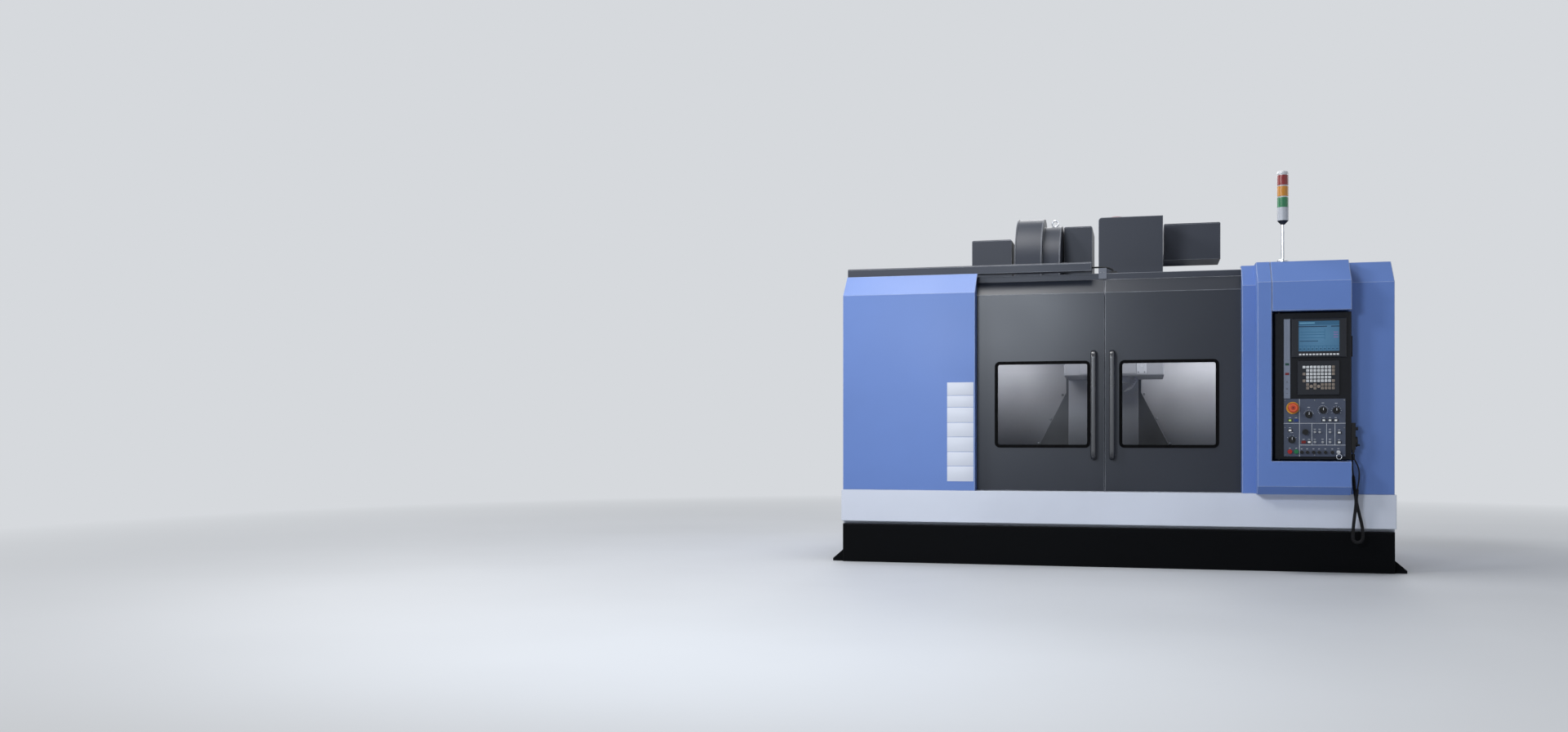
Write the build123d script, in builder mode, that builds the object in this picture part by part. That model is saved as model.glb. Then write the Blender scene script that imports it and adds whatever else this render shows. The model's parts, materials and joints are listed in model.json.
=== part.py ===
from build123d import *
import math
import os

os.makedirs("parts", exist_ok=True)

# Overall size in millimetres: +X to the operator's right, +Y into the machine, +Z up
machine_width = 2800
machine_depth = 2430
box_proud = 130
half_width = machine_width / 2
front_y = -machine_depth / 2
rear_y = machine_depth / 2
band_y = front_y + box_proud
overrun = 5
running_gap = 0.4
sheet = 4
bend_share = math.tan(math.pi / 8)

# Plinth and floor anchors
plinth_height = 205
plinth_setback = 12
plinth_inset = 4
plinth_edge = 8
foot_reach = 60
foot_height = 66
foot_length = 120
foot_plate = 14
foot_rib = 10
foot_inset = 30
anchor_bore = 22

# White band and door sill
apron_gap = 17
apron_height = 169
sill_lip = 100
sill_depth = 150

# Blue front panels
panel_inset = 8
panel_setback = 5
panel_rise = 1054
slope_rise = 112
panel_flange = 50
door_field = 1352

# Sliding doors
door_setback = 92
door_thickness = 40
door_split = -6
door_seam = 3
door_overlap = 30
door_drop = 9
door_slope = 77
door_lip = 33
window_width = 500
window_height = 459
window_edge = 74
window_lift = 229
window_round = 27
gasket_width = 16
gasket_lip = 8
gasket_proud = 4
gasket_depth = 20
glass_thickness = 8
glass_clearance = 0.2
handle_length = 574
handle_lift = 167
handle_width = 28
handle_depth = 22
handle_proud = 60
handle_round = 9
handle_bend = 30
left_handle_edge = 57
right_handle_edge = 38
track_depth = 46
track_height = 65
guide_height = 20
guide_depth = 10

# Operator box
box_inset = 660
box_width = 436
pillar_width = 66
box_chamfer = 41
sill_rise = 166
header_height = 256
header_seam = 2
recess_back = 8

# Swivelling panel housing
housing_gap = 16
housing_overhang = 6
housing_setback = 50
housing_depth = 70
housing_clear = 6
housing_edge = 5
pivot_inset = 23
pivot_depth = 8
pivot_radius = 6
pivot_length = 20
pivot_clearance = 0.3
pull_height = 102
pull_lift = 510
pull_proud = 6
pull_depth = 14

# Display, keypad, side strip and operator plate, placed from the housing's lower left corner
display_width = 258
display_height = 195
display_left = 79
display_lift = 507
display_proud = 10
display_edge = 4
screen_width = 190
screen_height = 150
screen_lift = 31
screen_pocket = 6
screen_thickness = 3
soft_key_count = 12
soft_key_width = 11
soft_key_height = 8
soft_key_proud = 2
soft_key_lift = 15
keypad_width = 195
keypad_height = 171
keypad_left = 109
keypad_lift = 321
keypad_proud = 9
keypad_edge = 3
key_pitch = 17
key_size = 12.5
key_proud = 2.5
key_rows = 5
key_columns = 7
entry_gap = 4
right_key_rows = (0, 1, 2, 4)
round_key_columns = (1, 3)
round_key_radius = 8
strip_width = 30
strip_height = 394
strip_left = 45
strip_lift = 305
strip_proud = 4
strip_cover_share = 0.52
strip_cover_inset = 2
strip_cover_proud = 1.5
strip_groove_width = 2
strip_groove_depth = 1
strip_lamp_shares = (0.431, 0.31)
strip_lamp_width = 18
strip_lamp_height = 11
strip_lamp_proud = 2
plate_width = 287
plate_height = 286
plate_left = 45
plate_lift = 17
plate_proud = 4
plate_edge = 1

# Controls on the operator plate, at shares of its width and height
estop_shares = (0.143, 0.843)
mode_shares = (0.404, 0.725)
feed_shares = (0.634, 0.801)
spindle_shares = (0.850, 0.794)
rapid_shares = (0.129, 0.289)
stop_shares = (0.098, 0.084)
start_shares = (0.202, 0.084)
key_shares = (0.882, 0.076)
axis_shares = (0.345, 0.425)
push_shares = (
    (0.648, 0.627), (0.746, 0.627), (0.840, 0.627), (0.098, 0.627), (0.199, 0.627), (0.098, 0.453),
    (0.321, 0.251), (0.411, 0.251), (0.895, 0.415), (0.895, 0.247),
)
toggle_shares = (
    (0.502, 0.425), (0.502, 0.251), (0.580, 0.425), (0.627, 0.251), (0.746, 0.425), (0.746, 0.251),
)
small_knob_shares = (
    (0.289, 0.073), (0.380, 0.073), (0.481, 0.073),
    (0.571, 0.073), (0.672, 0.073), (0.784, 0.073),
)
estop_radius = 24
estop_stem = 12
estop_collar = 30
estop_collar_height = 4
estop_reach = 24
estop_cap = 14
estop_crown = 5
knob_radius = 14
knob_skirt = 17
knob_skirt_height = 4
knob_height = 20
knob_grip = 7
knob_gap = 0.3
button_radius = 11
button_clearance = 0.4
button_reach = 8
button_stem = 8
button_bore = 16
push_width = 20
push_height = 13
push_proud = 5
toggle_radius = 6
toggle_height = 9
small_knob_radius = 8
small_knob_height = 11
key_barrel = 9
key_barrel_height = 10
key_blade_width = 3
key_blade_height = 20
key_blade_reach = 22
key_ring = 12
key_ring_wire = 1.6

# Hand pendant on the housing's right side and its lead
pendant_thickness = 20
pendant_depth = 58
pendant_height = 133
pendant_lift = 51
pendant_edge = 4
wheel_radius = 25
wheel_height = 10
wheel_lift_share = 0.30
wheel_crank = 17
wheel_crank_radius = 5
wheel_crank_height = 12
dial_radius = 8
dial_height = 12
dial_lift_share = 0.78
dial_spread_share = 0.25
gland_radius = 7
gland_length = 16
lead_spread = 14
socket_width = 24
socket_height = 30
cord_radius = 3.5
curl_radius = 9

# Tower lamp
lamp_left = 130
lamp_setback = 135
lamp_flange_radius = 27
lamp_flange_height = 15
lamp_pole_radius = 8.5
lamp_pole_length = 172
lamp_cone_height = 20
lamp_radius = 27
lamp_body_height = 66
lamp_lens_height = 50
lamp_ring_height = 6
lamp_ring_inset = 3
lamp_cap_height = 14
lamp_cap_round = 8

# Enclosure sides, rear and roof
enclosure_depth = 1800
roof_drop = 12
roof_margin = 430
roof_left = -550
roof_right = 625
splash_half = 1180
splash_back = 1290

# Covers on top of the machine
duct_height = 46
duct_setback = 130
duct_depth = 70
duct_right = -76
switch_width = 40
switch_height = 12
switch_depth = 34
lead_radius = 4
lead_reach = 112
lead_shares = ((0, 0), (0.36, 0), (0.62, 0.06), (0.82, 0.27), (0.95, 0.6), (1, 1))
lead_pitch = 5
latch_offset = 37
latch_width = 41
latch_height = 28
latch_plate = 3
latch_drop = 29
drum_centre_y = 835
drum_rise = 75
drum_radius = 335
drum_left = -514
drum_step = -362
drum_right = -263
drum_shoulder = 45
drum_wall = 5
drum_mouth = 240
drum_arm_height = 150
drum_arm_depth = 160
drum_arm_drop = 10
disc_radius = 245
disc_thickness = 30
disc_left = -440
pot_count = 20
pot_radius = 26
pot_ring_radius = 268
pot_length = 96
disc_shaft = 30
left_box_left = -787
left_box_width = 231
left_box_top = 1832
top_box_front = 800
top_box_depth = 350
cover_edge = 6
changer_left = -255
changer_width = 159
changer_height = 363
changer_lift = 30
right_box_left = 303
right_box_width = 312
right_box_lift = 164
right_box_height = 210
right_box_front = 900
right_box_depth = 300
bracket_width = 50
bracket_depth = 80
bracket_height = 60
bracket_back = 40
eye_ring = 17
eye_wire = 5
eye_stem = 8
eye_stem_height = 6
eye_left = -306

# Bed, saddle and table
spindle_y = 640
table_y = 620
bed_half = 600
bed_height = 125
bed_front = 190
way_height = 20
way_width = 60
way_offset = 300
saddle_half = 500
saddle_depth = 460
saddle_height = 90
saddle_grip = 15
cross_way_width = 50
cross_way_offset = 150
table_length = 1200
table_width = 480
table_height = 100
slot_count = 3
slot_pitch = 125
slot_width = 18
slot_neck = 20
slot_foot_width = 30
slot_foot = 14

# Column, head and spindle
column_left = -258
column_width = 434
column_front = 1072
column_depth = 420
column_top = 1530
column_flare_z = 940
column_flare_share = 0.515
guard_thickness = 8
guard_inset = 15
head_left = -237
head_width = 537
head_front = 480
head_bottom = 1015
head_edge = 6
front_cover_left = 89
front_cover_width = 298
front_cover_lift = 10
front_cover_proud = 6
head_x = 27
quill_radius = 85
quill_length = 35
hose_offset = 121
hose_bend = 80
hose_sweep = 60
hose_links = 6
hose_radius = 9
hose_neck = 6.5
hose_overlap = 3
nozzle_length = 25
nozzle_tip = 3
spindle_radius = 44
spindle_length = 45
spindle_shaft = 35
spindle_shaft_length = 60
taper_radius = 22.2
taper_depth = 65
taper_share = 7 / 24
drive_key_width = 16
drive_key_height = 8
drive_key_depth = 18
cover_left = -50
cover_width = 344
cover_depth = 400
cover_height = 359
cover_round = 18
cap_radius = 31
cap_height = 12
cap_inset = 97
cap_setback = 90

# Service covers on the side and rear sheets, and louvres
service_shares = (0.29, 0.66)
service_width_share = 0.33
service_lift_share = 0.07
service_height_share = 0.64
rear_service_share = 0.64
service_round = 15
service_proud = 3
louvre_count = 8
louvre_pitch = 36
louvre_height = 16
louvre_proud = 7
louvre_length_share = 0.6
louvre_top_share = 0.9
leaf_louvre_share = 0.3

# Electrical cabinet at the rear
cabinet_width = 900
cabinet_lift = 100
cabinet_height = 1600
leaf_thickness = 24
leaf_margin = 20
leaf_edge = 4
hinge_radius = 9
hinge_knuckle = 80
hinge_inset = 200
lever_inset = 45
lever_plate_width = 34
lever_plate_height = 150
lever_plate_depth = 6
lever_width = 18
lever_height = 112
lever_depth = 14
lever_edge = 4
switch_dial_radius = 36
switch_dial_height = 14
switch_grip_width = 14
switch_grip_height = 26
switch_lift_share = 0.62
switch_side_share = 0.30


# Stations worked out from the sizes above
plinth_half = half_width - plinth_inset
plinth_front = band_y + plinth_setback
enclosure_back = band_y + enclosure_depth
apron_bottom = plinth_height + apron_gap
apron_top = apron_bottom + apron_height
sill_back = band_y + sill_depth
panel_half = half_width - panel_inset
panel_y = band_y + panel_setback
panel_break = apron_top + panel_rise
panel_top = panel_break + slope_rise
return_y = band_y + door_setback - gasket_proud - running_gap
return_depth = return_y - panel_y
door_y = band_y + door_setback
door_back = door_y + door_thickness
door_bottom = apron_top + running_gap
door_break = panel_break - door_drop
door_top = door_break + door_slope
door_top_y = door_y + door_slope
door_half = door_field / 2 + door_overlap
roof_top = panel_top - roof_drop
roof_bottom = roof_top - sheet
track_front = door_top_y + running_gap
track_back = track_front + track_depth
box_left = half_width - box_inset
box_right = box_left + box_width
recess_left = box_left + pillar_width
recess_floor = apron_top + sill_rise
recess_roof = panel_top - header_height
housing_left = recess_left + housing_gap
housing_right = box_right + housing_overhang
housing_face = front_y + housing_setback
housing_back = housing_face + housing_depth
housing_bottom = recess_floor + housing_clear
housing_top = recess_roof - housing_clear
pivot_x = housing_left + pivot_inset
pivot_y = housing_face + pivot_depth
plate_face = housing_face - plate_proud
bed_top = plinth_height + bed_height
way_top = bed_top + way_height
saddle_bottom = way_top + running_gap - saddle_grip
saddle_top = saddle_bottom + saddle_height
cross_way_top = saddle_top + way_height
table_bottom = cross_way_top + running_gap - saddle_grip
table_top = table_bottom + table_height
column_y = band_y + column_front
column_back = column_y + column_depth
column_right = column_left + column_width
changer_top = column_top + changer_height
cover_top = column_top + cover_height
right_box_bottom = column_top + right_box_lift
right_box_top = right_box_bottom + right_box_height
drum_centre_z = column_top + drum_rise
guard_front = column_y - guard_thickness
head_back = guard_front - running_gap
head_right = head_left + head_width
spindle_line = band_y + spindle_y
table_line = band_y + table_y
cabinet_half = cabinet_width / 2
leaf_back = rear_y - switch_dial_height - switch_grip_height
leaf_front = leaf_back - leaf_thickness
cabinet_back = leaf_front - running_gap
cabinet_top = cabinet_lift + cabinet_height


def facing(y):
    """Plane at a depth, looking at the front, with X to the right and Z up."""
    return Plane.XZ.offset(-y)


def block(low, high, mode=Mode.ADD):
    """Add or cut an upright block between two corners."""
    size = Vector(*high) - Vector(*low)
    with Locations(low):
        Box(size.X, size.Y, size.Z, align=(Align.MIN, Align.MIN, Align.MIN), mode=mode)


def side_run(points, start, end, mode=Mode.ADD):
    """Extrude an outline drawn in Y and Z from one X station to another."""
    with BuildSketch(Plane.YZ.offset(start)) as outline:
        with BuildLine():
            Polyline(*points, close=True)
        make_face()
    extrude(outline.sketch, amount=end - start, mode=mode)


def front_run(points, start, end, mode=Mode.ADD):
    """Extrude an outline drawn in X and Z from one depth to a deeper one."""
    with BuildSketch(facing(start)) as outline:
        with BuildLine():
            Polyline(*points, close=True)
        make_face()
    extrude(outline.sketch, amount=start - end, mode=mode)


def plan_run(points, start, end, mode=Mode.ADD):
    """Extrude an outline drawn in X and Y from one height to another."""
    with BuildSketch(Plane.XY.offset(start)) as outline:
        with BuildLine():
            Polyline(*points, close=True)
        make_face()
    extrude(outline.sketch, amount=end - start, mode=mode)


# Plinth: one closed casting with rounded corners
with BuildPart() as base_plinth:
    block((-plinth_half, plinth_front, 0), (plinth_half, enclosure_back, plinth_height))
    fillet(base_plinth.edges().filter_by(Axis.Z), radius=plinth_edge)
base_plinth.part.label = "base_plinth"
export_step(base_plinth.part, "parts/base_plinth.step")

# Floor anchors: four ribbed flanges with a bolt hole each
anchor_ys = (plinth_front + foot_inset, enclosure_back - foot_inset - foot_length)
with BuildPart() as levelling_feet:
    for side in (-1, 1):
        wall_x = side * plinth_half
        tip_x = wall_x + side * foot_reach
        rib = ((wall_x, 0), (tip_x, 0), (tip_x, foot_plate), (wall_x, foot_height))
        slab = ((wall_x, 0), (tip_x, 0), (tip_x, foot_plate), (wall_x, foot_plate))
        for y in anchor_ys:
            front_run(slab, y, y + foot_length)
            front_run(rib, y, y + foot_rib)
            front_run(rib, y + foot_length - foot_rib, y + foot_length)
            with Locations((wall_x + side * foot_reach / 2, y + foot_length / 2, foot_plate)):
                Hole(radius=anchor_bore / 2, depth=foot_plate)
levelling_feet.part.label = "levelling_feet"
export_step(levelling_feet.part, "parts/levelling_feet.step")

# White band: a closed sill that stands on a rear lip
sill_outline = (
    (band_y, apron_bottom), (band_y, apron_top), (sill_back, apron_top), (sill_back, plinth_height),
    (sill_back - sill_lip, plinth_height), (sill_back - sill_lip, apron_bottom),
)
with BuildPart() as front_apron:
    side_run(sill_outline, -half_width, half_width)
front_apron.part.label = "front_apron"
export_step(front_apron.part, "parts/front_apron.step")

# Blue front panels: folded sheets with a sloping top and closed ends
slope_y = panel_y + slope_rise
flange_y = slope_y + panel_flange
bend = bend_share * sheet
panel_outline = (
    (panel_y, apron_top), (panel_y, panel_break), (slope_y, panel_top), (flange_y, panel_top),
    (flange_y, panel_top - sheet), (slope_y + bend, panel_top - sheet),
    (panel_y + sheet, panel_break - bend), (panel_y + sheet, apron_top),
)
panel_end = (
    (panel_y, apron_top), (panel_y, panel_break),
    (return_y, panel_break + return_depth), (return_y, apron_top),
)


def front_panel(low_x, high_x):
    """One folded front panel between two X stations."""
    with BuildPart() as panel:
        side_run(panel_outline, low_x, high_x)
        side_run(panel_end, low_x, low_x + sheet)
        side_run(panel_end, high_x - sheet, high_x)
    return panel


left_front_panel = front_panel(-panel_half, -door_field / 2)
left_front_panel.part.label = "left_front_panel"
export_step(left_front_panel.part, "parts/left_front_panel.step")
right_front_panel = front_panel(door_field / 2, panel_half)
right_front_panel.part.label = "right_front_panel"
export_step(right_front_panel.part, "parts/right_front_panel.step")

# Side, rear and roof sheets
side_outline = (
    (return_y, apron_top), (return_y, panel_break + return_depth - sheet - bend),
    (slope_y + bend, panel_top - sheet), (enclosure_back, panel_top - sheet),
    (enclosure_back, plinth_height), (sill_back, plinth_height), (sill_back, apron_top),
)
service_low = apron_top + service_lift_share * (panel_top - apron_top)
service_height = service_height_share * (panel_top - apron_top)
side_length = enclosure_back - return_y


def service_covers(side):
    """Two flat covers with rounded corners on a side sheet."""
    with BuildSketch(Plane.YZ.offset(side * panel_half)) as outline:
        with Locations(*[
            (return_y + share * side_length, service_low + service_height / 2) for share in service_shares
        ]):
            RectangleRounded(service_width_share * side_length, service_height, service_round)
    extrude(outline.sketch, amount=side * service_proud)


def louvres(face, middle, top, length):
    """A row of louvres on a face that looks to the rear."""
    for step in range(louvre_count):
        upper = top - step * louvre_pitch
        lower = upper - louvre_height
        hood = ((face, upper), (face, lower), (face + louvre_proud, lower))
        side_run(hood, middle - length / 2, middle + length / 2)


with BuildPart() as left_side_panel:
    side_run(side_outline, -panel_half, -panel_half + sheet)
    service_covers(-1)
left_side_panel.part.label = "left_side_panel"
export_step(left_side_panel.part, "parts/left_side_panel.step")
with BuildPart() as right_side_panel:
    side_run(side_outline, panel_half - sheet, panel_half)
    service_covers(1)
right_side_panel.part.label = "right_side_panel"
export_step(right_side_panel.part, "parts/right_side_panel.step")

inner_half = panel_half - sheet
rear_service_x = (inner_half + cabinet_half) / 2
rear_service_width = rear_service_share * (inner_half - cabinet_half)
with BuildPart() as rear_panel:
    block(
        (-inner_half, enclosure_back - sheet, plinth_height),
        (inner_half, enclosure_back, panel_top - sheet),
    )
    with BuildSketch(facing(enclosure_back)):
        with Locations(*[(side * rear_service_x, service_low + service_height / 2) for side in (-1, 1)]):
            RectangleRounded(rear_service_width, service_height, service_round)
    extrude(amount=-service_proud)
    for side in (-1, 1):
        louvres(
            enclosure_back + service_proud, side * rear_service_x,
            service_low + louvre_top_share * service_height, louvre_length_share * rear_service_width,
        )
rear_panel.part.label = "rear_panel"
export_step(rear_panel.part, "parts/rear_panel.step")

roof_back = enclosure_back - sheet
roof_mouth = band_y + roof_margin
roof_outline = (
    (-inner_half, track_back), (inner_half, track_back), (inner_half, roof_back), (roof_right, roof_back),
    (roof_right, roof_mouth), (roof_left, roof_mouth), (roof_left, roof_back), (-inner_half, roof_back),
)
with BuildPart() as roof_panel:
    plan_run(roof_outline, roof_bottom, roof_top)
roof_panel.part.label = "roof_panel"
export_step(roof_panel.part, "parts/roof_panel.step")

# Door tracks: a header rail behind the door tops and a guide strip on the sill
with BuildPart() as door_tracks:
    block((-inner_half, track_front, roof_top - track_height), (inner_half, track_back, roof_top))
    block(
        (-inner_half, door_back + running_gap, apron_top),
        (inner_half, door_back + running_gap + guide_depth, apron_top + guide_height),
    )
door_tracks.part.label = "door_tracks"
export_step(door_tracks.part, "parts/door_tracks.step")

# Inner splash walls: a side sheet and a rear sheet that follows the column's foot, on each side
splash_y = band_y + splash_back
flare = (column_flare_z - bed_top) * column_flare_share
with BuildPart() as splash_walls:
    for side, face_x in ((-1, column_left), (1, column_right)):
        wall_x = side * splash_half
        edge_x = face_x + side * running_gap
        foot_x = side * (bed_half + running_gap)
        rear_outline = (
            (wall_x, plinth_height), (foot_x, plinth_height), (foot_x, bed_top + running_gap),
            (edge_x + side * flare, bed_top + running_gap), (edge_x, column_flare_z + running_gap),
            (edge_x, roof_bottom), (wall_x, roof_bottom),
        )
        front_run(rear_outline, splash_y, splash_y + sheet)
        block(
            (min(wall_x, wall_x - side * sheet), track_back, plinth_height),
            (max(wall_x, wall_x - side * sheet), splash_y, roof_bottom),
        )
splash_walls.part.label = "splash_walls"
export_step(splash_walls.part, "parts/splash_walls.step")

# Sliding doors with a bent top, a window, its gasket and glass, and a bar handle
door_outline = (
    (door_y, door_bottom), (door_y, door_break), (door_top_y, door_top), (door_top_y, door_top - door_lip),
    (door_back, door_top - door_lip - (door_top_y - door_back)), (door_back, door_bottom),
)
window_z = apron_top + window_lift + window_height / 2
hole_width = window_width - 2 * gasket_lip
hole_height = window_height - 2 * gasket_lip
hole_round = window_round - gasket_lip
sight_width = window_width - 2 * gasket_width
sight_height = window_height - 2 * gasket_width
sight_round = window_round - gasket_width


def sliding_door(low_x, high_x, window_x):
    """One door leaf with a window cut through it."""
    with BuildPart() as leaf:
        side_run(door_outline, low_x, high_x)
        with BuildSketch(facing(door_y)):
            with Locations((window_x, window_z)):
                RectangleRounded(hole_width, hole_height, hole_round)
        extrude(amount=-door_thickness, mode=Mode.SUBTRACT)
    return leaf


def window_gasket(window_x):
    """Rubber ring with a lip over the door face and a sleeve in the cut-out."""
    with BuildPart() as ring:
        with BuildSketch(facing(door_y)):
            with Locations((window_x, window_z)):
                RectangleRounded(window_width, window_height, window_round)
                RectangleRounded(sight_width, sight_height, sight_round, mode=Mode.SUBTRACT)
        extrude(amount=gasket_proud)
        with BuildSketch(facing(door_y)):
            with Locations((window_x, window_z)):
                RectangleRounded(hole_width - glass_clearance, hole_height - glass_clearance, hole_round)
                RectangleRounded(sight_width, sight_height, sight_round, mode=Mode.SUBTRACT)
        extrude(amount=-gasket_depth)
    return ring


def window_glass(window_x):
    """Flat pane held inside the gasket."""
    with BuildPart() as pane:
        with BuildSketch(facing(door_y)):
            with Locations((window_x, window_z)):
                RectangleRounded(sight_width - glass_clearance, sight_height - glass_clearance, sight_round)
        extrude(amount=-glass_thickness)
    return pane


def bar_handle(handle_x):
    """Upright bar bent back to the door at both ends."""
    low_z = apron_top + handle_lift + handle_depth / 2
    high_z = low_z + handle_length - handle_depth
    bar_y = door_y - handle_proud + handle_depth / 2
    with BuildPart() as bar:
        with BuildLine():
            FilletPolyline(
                (handle_x, door_y, low_z), (handle_x, bar_y, low_z),
                (handle_x, bar_y, high_z), (handle_x, door_y, high_z),
                radius=handle_bend,
            )
        with BuildSketch(facing(door_y)):
            with Locations((handle_x, low_z)):
                RectangleRounded(handle_width, handle_depth, handle_round)
        sweep()
    return bar


left_window_x = door_split - window_edge - window_width / 2
right_window_x = door_split + window_edge + window_width / 2
left_door = sliding_door(-door_half, door_split - door_seam / 2, left_window_x)
left_door.part.label = "left_door"
export_step(left_door.part, "parts/left_door.step")
right_door = sliding_door(door_split + door_seam / 2, door_half, right_window_x)
right_door.part.label = "right_door"
export_step(right_door.part, "parts/right_door.step")
left_gasket = window_gasket(left_window_x)
left_gasket.part.label = "left_gasket"
export_step(left_gasket.part, "parts/left_gasket.step")
right_gasket = window_gasket(right_window_x)
right_gasket.part.label = "right_gasket"
export_step(right_gasket.part, "parts/right_gasket.step")
left_glass = window_glass(left_window_x)
left_glass.part.label = "left_glass"
export_step(left_glass.part, "parts/left_glass.step")
right_glass = window_glass(right_window_x)
right_glass.part.label = "right_glass"
export_step(right_glass.part, "parts/right_glass.step")
left_handle = bar_handle(door_split - left_handle_edge)
left_handle.part.label = "left_handle"
export_step(left_handle.part, "parts/left_handle.step")
right_handle = bar_handle(door_split + right_handle_edge)
right_handle.part.label = "right_handle"
export_step(right_handle.part, "parts/right_handle.step")

# Operator box: pillar, lower housing and recess back, with a chamfered front foot
box_outline = (
    (front_y + box_chamfer, apron_top), (front_y, apron_top + box_chamfer), (front_y, panel_break),
    (front_y + slope_rise, panel_top), (slope_y, panel_top), (panel_y, panel_break), (panel_y, apron_top),
)
lower_outline = (
    (front_y + box_chamfer, apron_top), (front_y, apron_top + box_chamfer), (front_y, recess_floor),
    (panel_y, recess_floor), (panel_y, apron_top),
)
with BuildPart() as operator_box:
    side_run(box_outline, box_left, recess_left)
    side_run(lower_outline, recess_left, box_right)
    block((recess_left, panel_y - recess_back, recess_floor), (box_right, panel_y, recess_roof))
    with Locations((pivot_x, pivot_y, recess_floor)):
        Hole(radius=pivot_radius + pivot_clearance, depth=pivot_length + pivot_clearance)
operator_box.part.label = "operator_box"
export_step(operator_box.part, "parts/operator_box.step")

# Header over the panel, split from the pillar by a seam
header_outline = (
    (front_y, recess_roof), (front_y, panel_break), (front_y + slope_rise, panel_top),
    (slope_y, panel_top), (panel_y, panel_break), (panel_y, recess_roof),
)
with BuildPart() as operator_header:
    side_run(header_outline, recess_left + header_seam, box_right)
    with Locations(Plane((pivot_x, pivot_y, recess_roof), z_dir=(0, 0, -1))):
        Hole(radius=pivot_radius + pivot_clearance, depth=pivot_length + pivot_clearance)
operator_header.part.label = "operator_header"
export_step(operator_header.part, "parts/operator_header.step")


def on_plate(shares):
    """Place on the operator plate from shares of its width and height."""
    corner_x = housing_left + plate_left
    corner_z = housing_bottom + plate_lift
    return (corner_x + shares[0] * plate_width, corner_z + shares[1] * plate_height)


# Places on the housing's right side for the hand pendant and its lead
pendant_low = housing_bottom + pendant_lift
pendant_y = housing_face + housing_depth / 2
pendant_face = housing_right + pendant_thickness
lead_x = housing_right + pendant_thickness / 2
tail_y = pendant_y - lead_spread
socket_y = pendant_y + lead_spread

# Panel housing: a flat black case on two pivot pins, with a pull lip on its free side
pressed_spots = [on_plate(stop_shares), on_plate(start_shares)]
with BuildPart() as panel_housing:
    block((housing_left, housing_face, housing_bottom), (housing_right, housing_back, housing_top))
    chamfer(panel_housing.faces().sort_by(Axis.Y)[0].edges(), length=housing_edge)
    pull_z = housing_bottom + pull_lift
    block(
        (housing_right, housing_face + pull_depth, pull_z),
        (housing_right + pull_proud, housing_face + 2 * pull_depth, pull_z + pull_height),
    )
    block(
        (housing_right, socket_y - socket_width / 2, housing_bottom),
        (pendant_face, socket_y + socket_width / 2, housing_bottom + socket_height),
    )
    pin_low = recess_floor - pivot_length
    pin_root = housing_bottom + housing_edge
    pin_high = recess_roof + pivot_length
    pin_base = housing_top - housing_edge
    with Locations((pivot_x, pivot_y, pin_low)):
        Cylinder(pivot_radius, pin_root - pin_low, align=(Align.CENTER, Align.CENTER, Align.MIN))
    with Locations((pivot_x, pivot_y, pin_base)):
        Cylinder(pivot_radius, pin_high - pin_base, align=(Align.CENTER, Align.CENTER, Align.MIN))
    with BuildSketch(facing(housing_face)):
        with Locations(*pressed_spots):
            Circle(button_radius + button_clearance)
        with Locations(on_plate(estop_shares)):
            Circle(estop_stem + button_clearance)
    extrude(amount=-button_bore, mode=Mode.SUBTRACT)
panel_housing.part.label = "panel_housing"
export_step(panel_housing.part, "parts/panel_housing.step")

# Display unit with a sunk screen and a row of soft keys
display_x = housing_left + display_left + display_width / 2
display_z = housing_bottom + display_lift + display_height / 2
screen_z = housing_bottom + display_lift + screen_lift + screen_height / 2
display_face = housing_face - display_proud
with BuildPart() as display_unit:
    with BuildSketch(facing(housing_face)):
        with Locations((display_x, display_z)):
            Rectangle(display_width, display_height)
    extrude(amount=display_proud)
    chamfer(display_unit.faces().sort_by(Axis.Y)[0].edges(), length=display_edge)
    with BuildSketch(facing(display_face)):
        with Locations((display_x, screen_z)):
            Rectangle(screen_width, screen_height)
    extrude(amount=-screen_pocket, mode=Mode.SUBTRACT)
    with BuildSketch(facing(display_face)):
        with Locations((display_x, housing_bottom + display_lift + soft_key_lift)):
            with GridLocations(screen_width / soft_key_count, 0, soft_key_count, 1):
                Rectangle(soft_key_width, soft_key_height)
    extrude(amount=soft_key_proud)
display_unit.part.label = "display_unit"
export_step(display_unit.part, "parts/display_unit.step")

with BuildPart() as screen:
    with BuildSketch(facing(display_face + screen_pocket)):
        with Locations((display_x, screen_z)):
            Rectangle(screen_width - glass_clearance, screen_height - glass_clearance)
    extrude(amount=screen_thickness)
screen.part.label = "screen"
export_step(screen.part, "parts/screen.step")

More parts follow.
